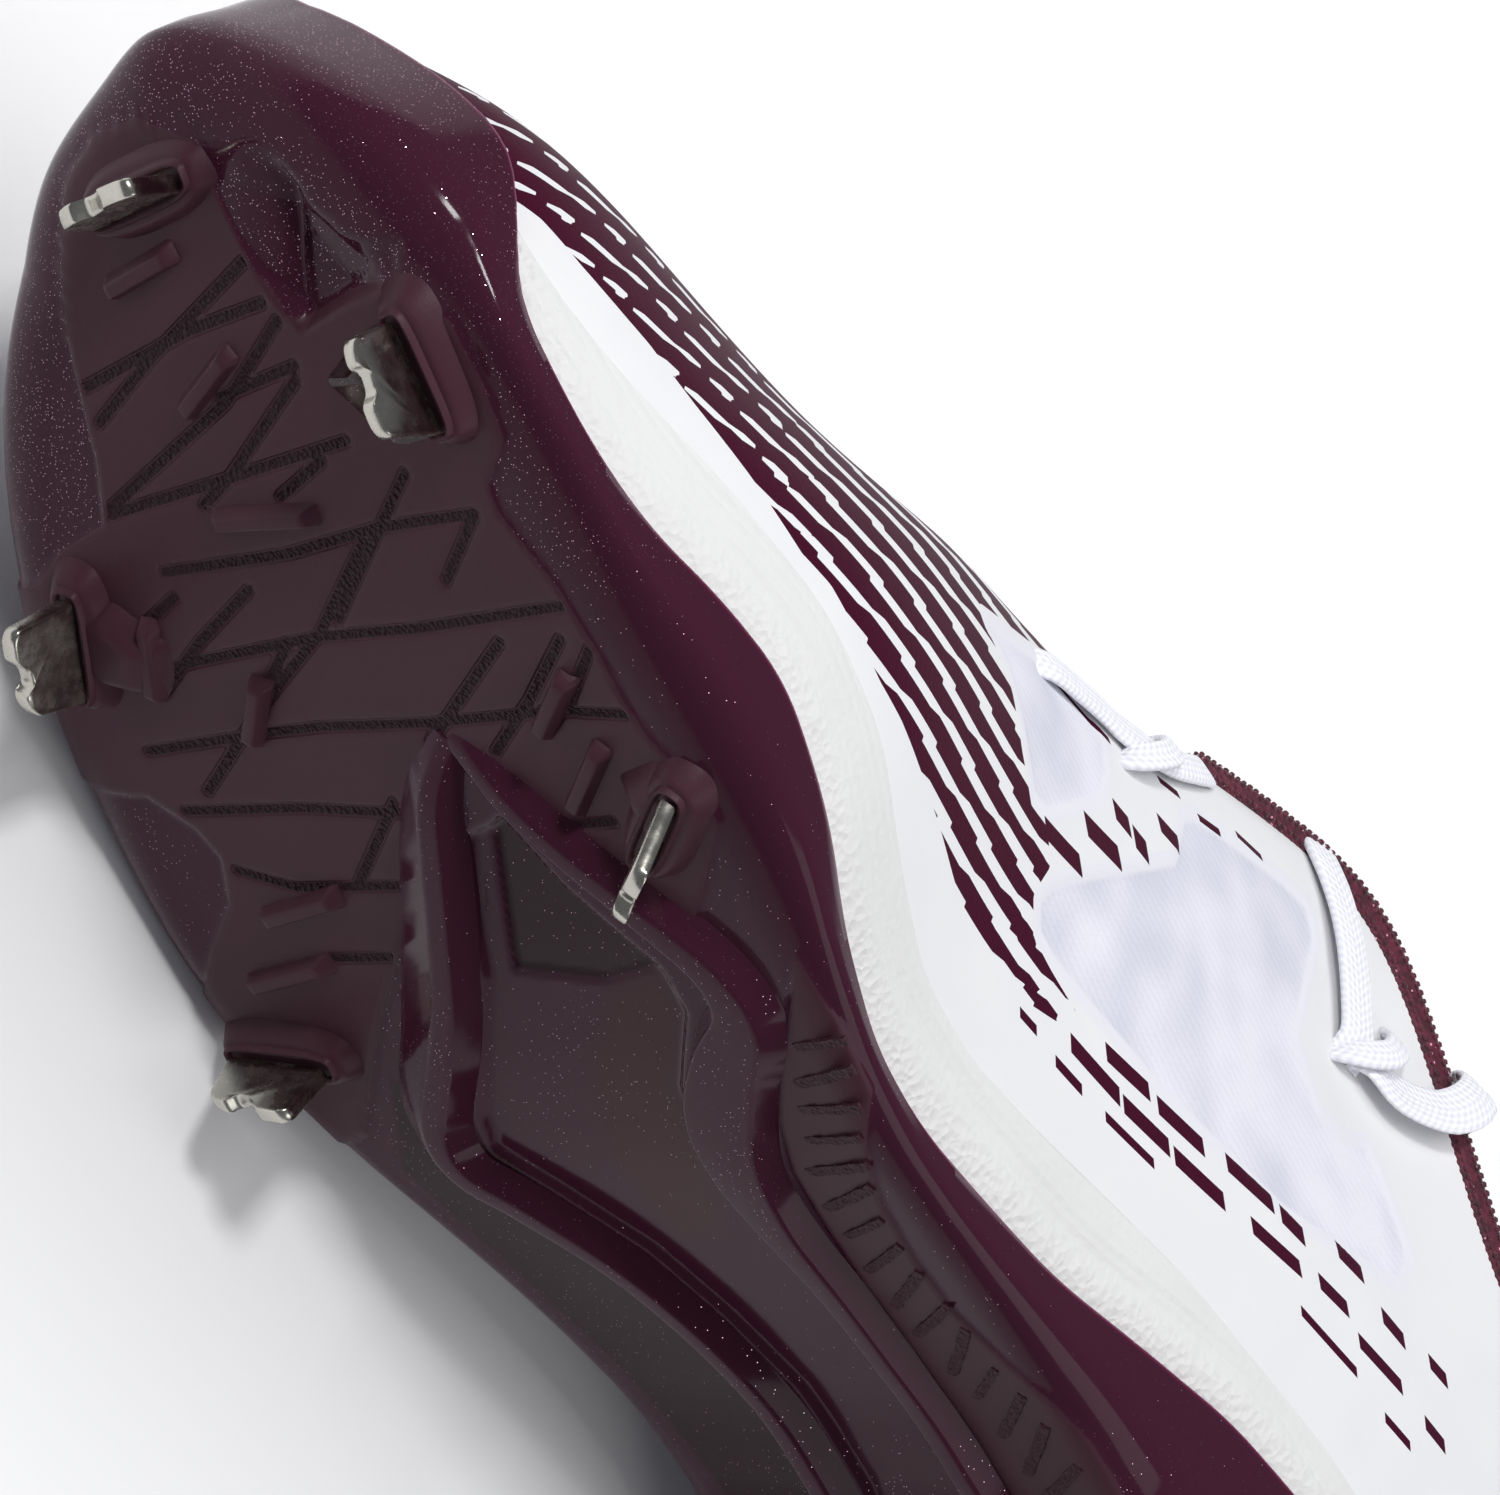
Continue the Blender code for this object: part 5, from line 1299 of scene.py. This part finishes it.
def pressed_steel():
    """Nickel-plated pressed steel: bright, with tumbling marks and duller, scuffed patches."""
    made = Finish("plated_steel_pressed")
    last = made.add("Attribute", attribute_name="last").outputs["Vector"]
    wear = made.add("TexNoise", {"Vector": last, "Scale": 0.45, "Detail": 3.0, "Roughness": 0.65})
    fine = made.add("TexNoise", {"Vector": last, "Scale": 3.5, "Detail": 1.0})
    colour = made.add("Mix", wear, {6: "#A8A69C", 7: "#CFCCC2"}, data_type="RGBA")
    rough = made.add("MapRange", wear, 0.3, 0.7, 0.18, 0.34)
    bump = made.add("Bump", {"Strength": 0.06, "Distance": 0.0001, "Height": fine})
    return made.end(Base_Color=colour, Roughness=rough, Metallic=1.0, Normal=bump)


def sockliner_cloth():
    """Polyester cloth on the sockliner: dull grey, with a fine weave."""
    made = Finish("polyester_cloth_grey")
    last = made.add("Attribute", attribute_name="last").outputs["Vector"]
    weave = made.add("TexVoronoi", {"Vector": last, "Scale": 1.2, "Randomness": 0.3})
    colour = made.add("Mix", weave, {6: "#8C8C90", 7: "#6F6F74"}, data_type="RGBA")
    bump = made.add("Bump", {"Strength": 0.5, "Distance": 0.0003, "Height": weave})
    return made.end(Base_Color=colour, Roughness=0.9, Normal=bump)


def floor_and_light():
    """Pale floor, a broad soft lamp behind and above, a small key for the highlights, a fill and a dim even sky."""
    mesh = bpy.data.meshes.new("floor")
    mesh.from_pydata([(-4, -4, -0.0004), (4, -4, -0.0004), (4, 4, -0.0004), (-4, 4, -0.0004)], [], [(0, 1, 2, 3)])
    floor = bpy.data.objects.new("floor", mesh)
    bpy.context.scene.collection.objects.link(floor)
    made = Finish("pale_paint")
    mesh.materials.append(made.end(Base_Color=hex_colour("#F6F6F7"), Roughness=0.95, Specular_IOR_Level=0.1))
    world = bpy.data.worlds.new("sky")
    world.use_nodes = True
    world.node_tree.nodes["Background"].inputs[0].default_value = hex_colour("#E9ECF6")
    world.node_tree.nodes["Background"].inputs[1].default_value = 0.2
    bpy.context.scene.world = world
    bpy.context.scene.view_settings.view_transform = "Standard"
    for name, spot, size, power, mirrored in LAMPS:
        lamp = bpy.data.lights.new(name, "AREA")
        lamp.size = size
        lamp.energy = power
        made = bpy.data.objects.new(name, lamp)
        bpy.context.scene.collection.objects.link(made)
        made.location = spot
        made.visible_glossy = mirrored
        made.rotation_euler = (Vector((0, 0, 0.04)) - Vector(spot)).to_track_quat("-Z", "Y").to_euler()


def photo_camera():
    """The photo's view: under the forefoot, turned so that the toe is at the top left."""
    toe_way, side_way, up_way = (-0.414, 0.817, 0.402), (0.718, 0.022, 0.695), (0.559, 0.577, -0.596)
    u, _, vt = np.linalg.svd(np.array([toe_way, side_way, up_way]).T)
    axes = u @ vt
    distance, scale, pixels = 1300.0, 9.094, 1500
    eye = np.array([180.0, 0.0, 40.0]) + axes.T @ np.array([3.62, 0.45, distance])
    turned = axes @ TURN.T
    camera = bpy.data.objects.new("camera", bpy.data.cameras.new("camera"))
    camera.data.sensor_width = 36.0
    camera.data.lens = distance * scale / pixels * 36.0
    camera.data.clip_end = 20.0
    matrix = Matrix([list(row) + [0.0] for row in turned.T] + [[0, 0, 0, 1]])
    matrix.translation = Vector((eye @ TURN.T + np.array(REST_PLACE)) * MM)
    camera.matrix_world = matrix
    bpy.context.scene.collection.objects.link(camera)
    bpy.context.scene.camera = camera


def main():
    sole, foam, film, knit = moulded_sole(), eva_foam(), film_upper(), lining_knit()
    lurex, lace, steel, cloth = sparkle_knit(), woven_lace(), pressed_steel(), sockliner_cloth()
    pieces = [
        # piece, node, slot
        (outsole(sole), "outsole", "outsole"),
        (midsole(foam), "midsole", "midsole"),
        (insole(cloth), "insole", "insole"),
        (upper(film, knit), "upper", "upper"),
        (collar(lurex), "collar", "lining"),
        (tongue(knit), "tongue", "lining"),
        (laces(lace), "laces", "laces"),
    ]
    for row in SPIKES:
        pieces.append((blade(steel, *row), row[0], "spikes"))
    for piece, node, slot in pieces:
        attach(piece, "root")
        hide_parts(node)
    floor_and_light()
    photo_camera()


main()
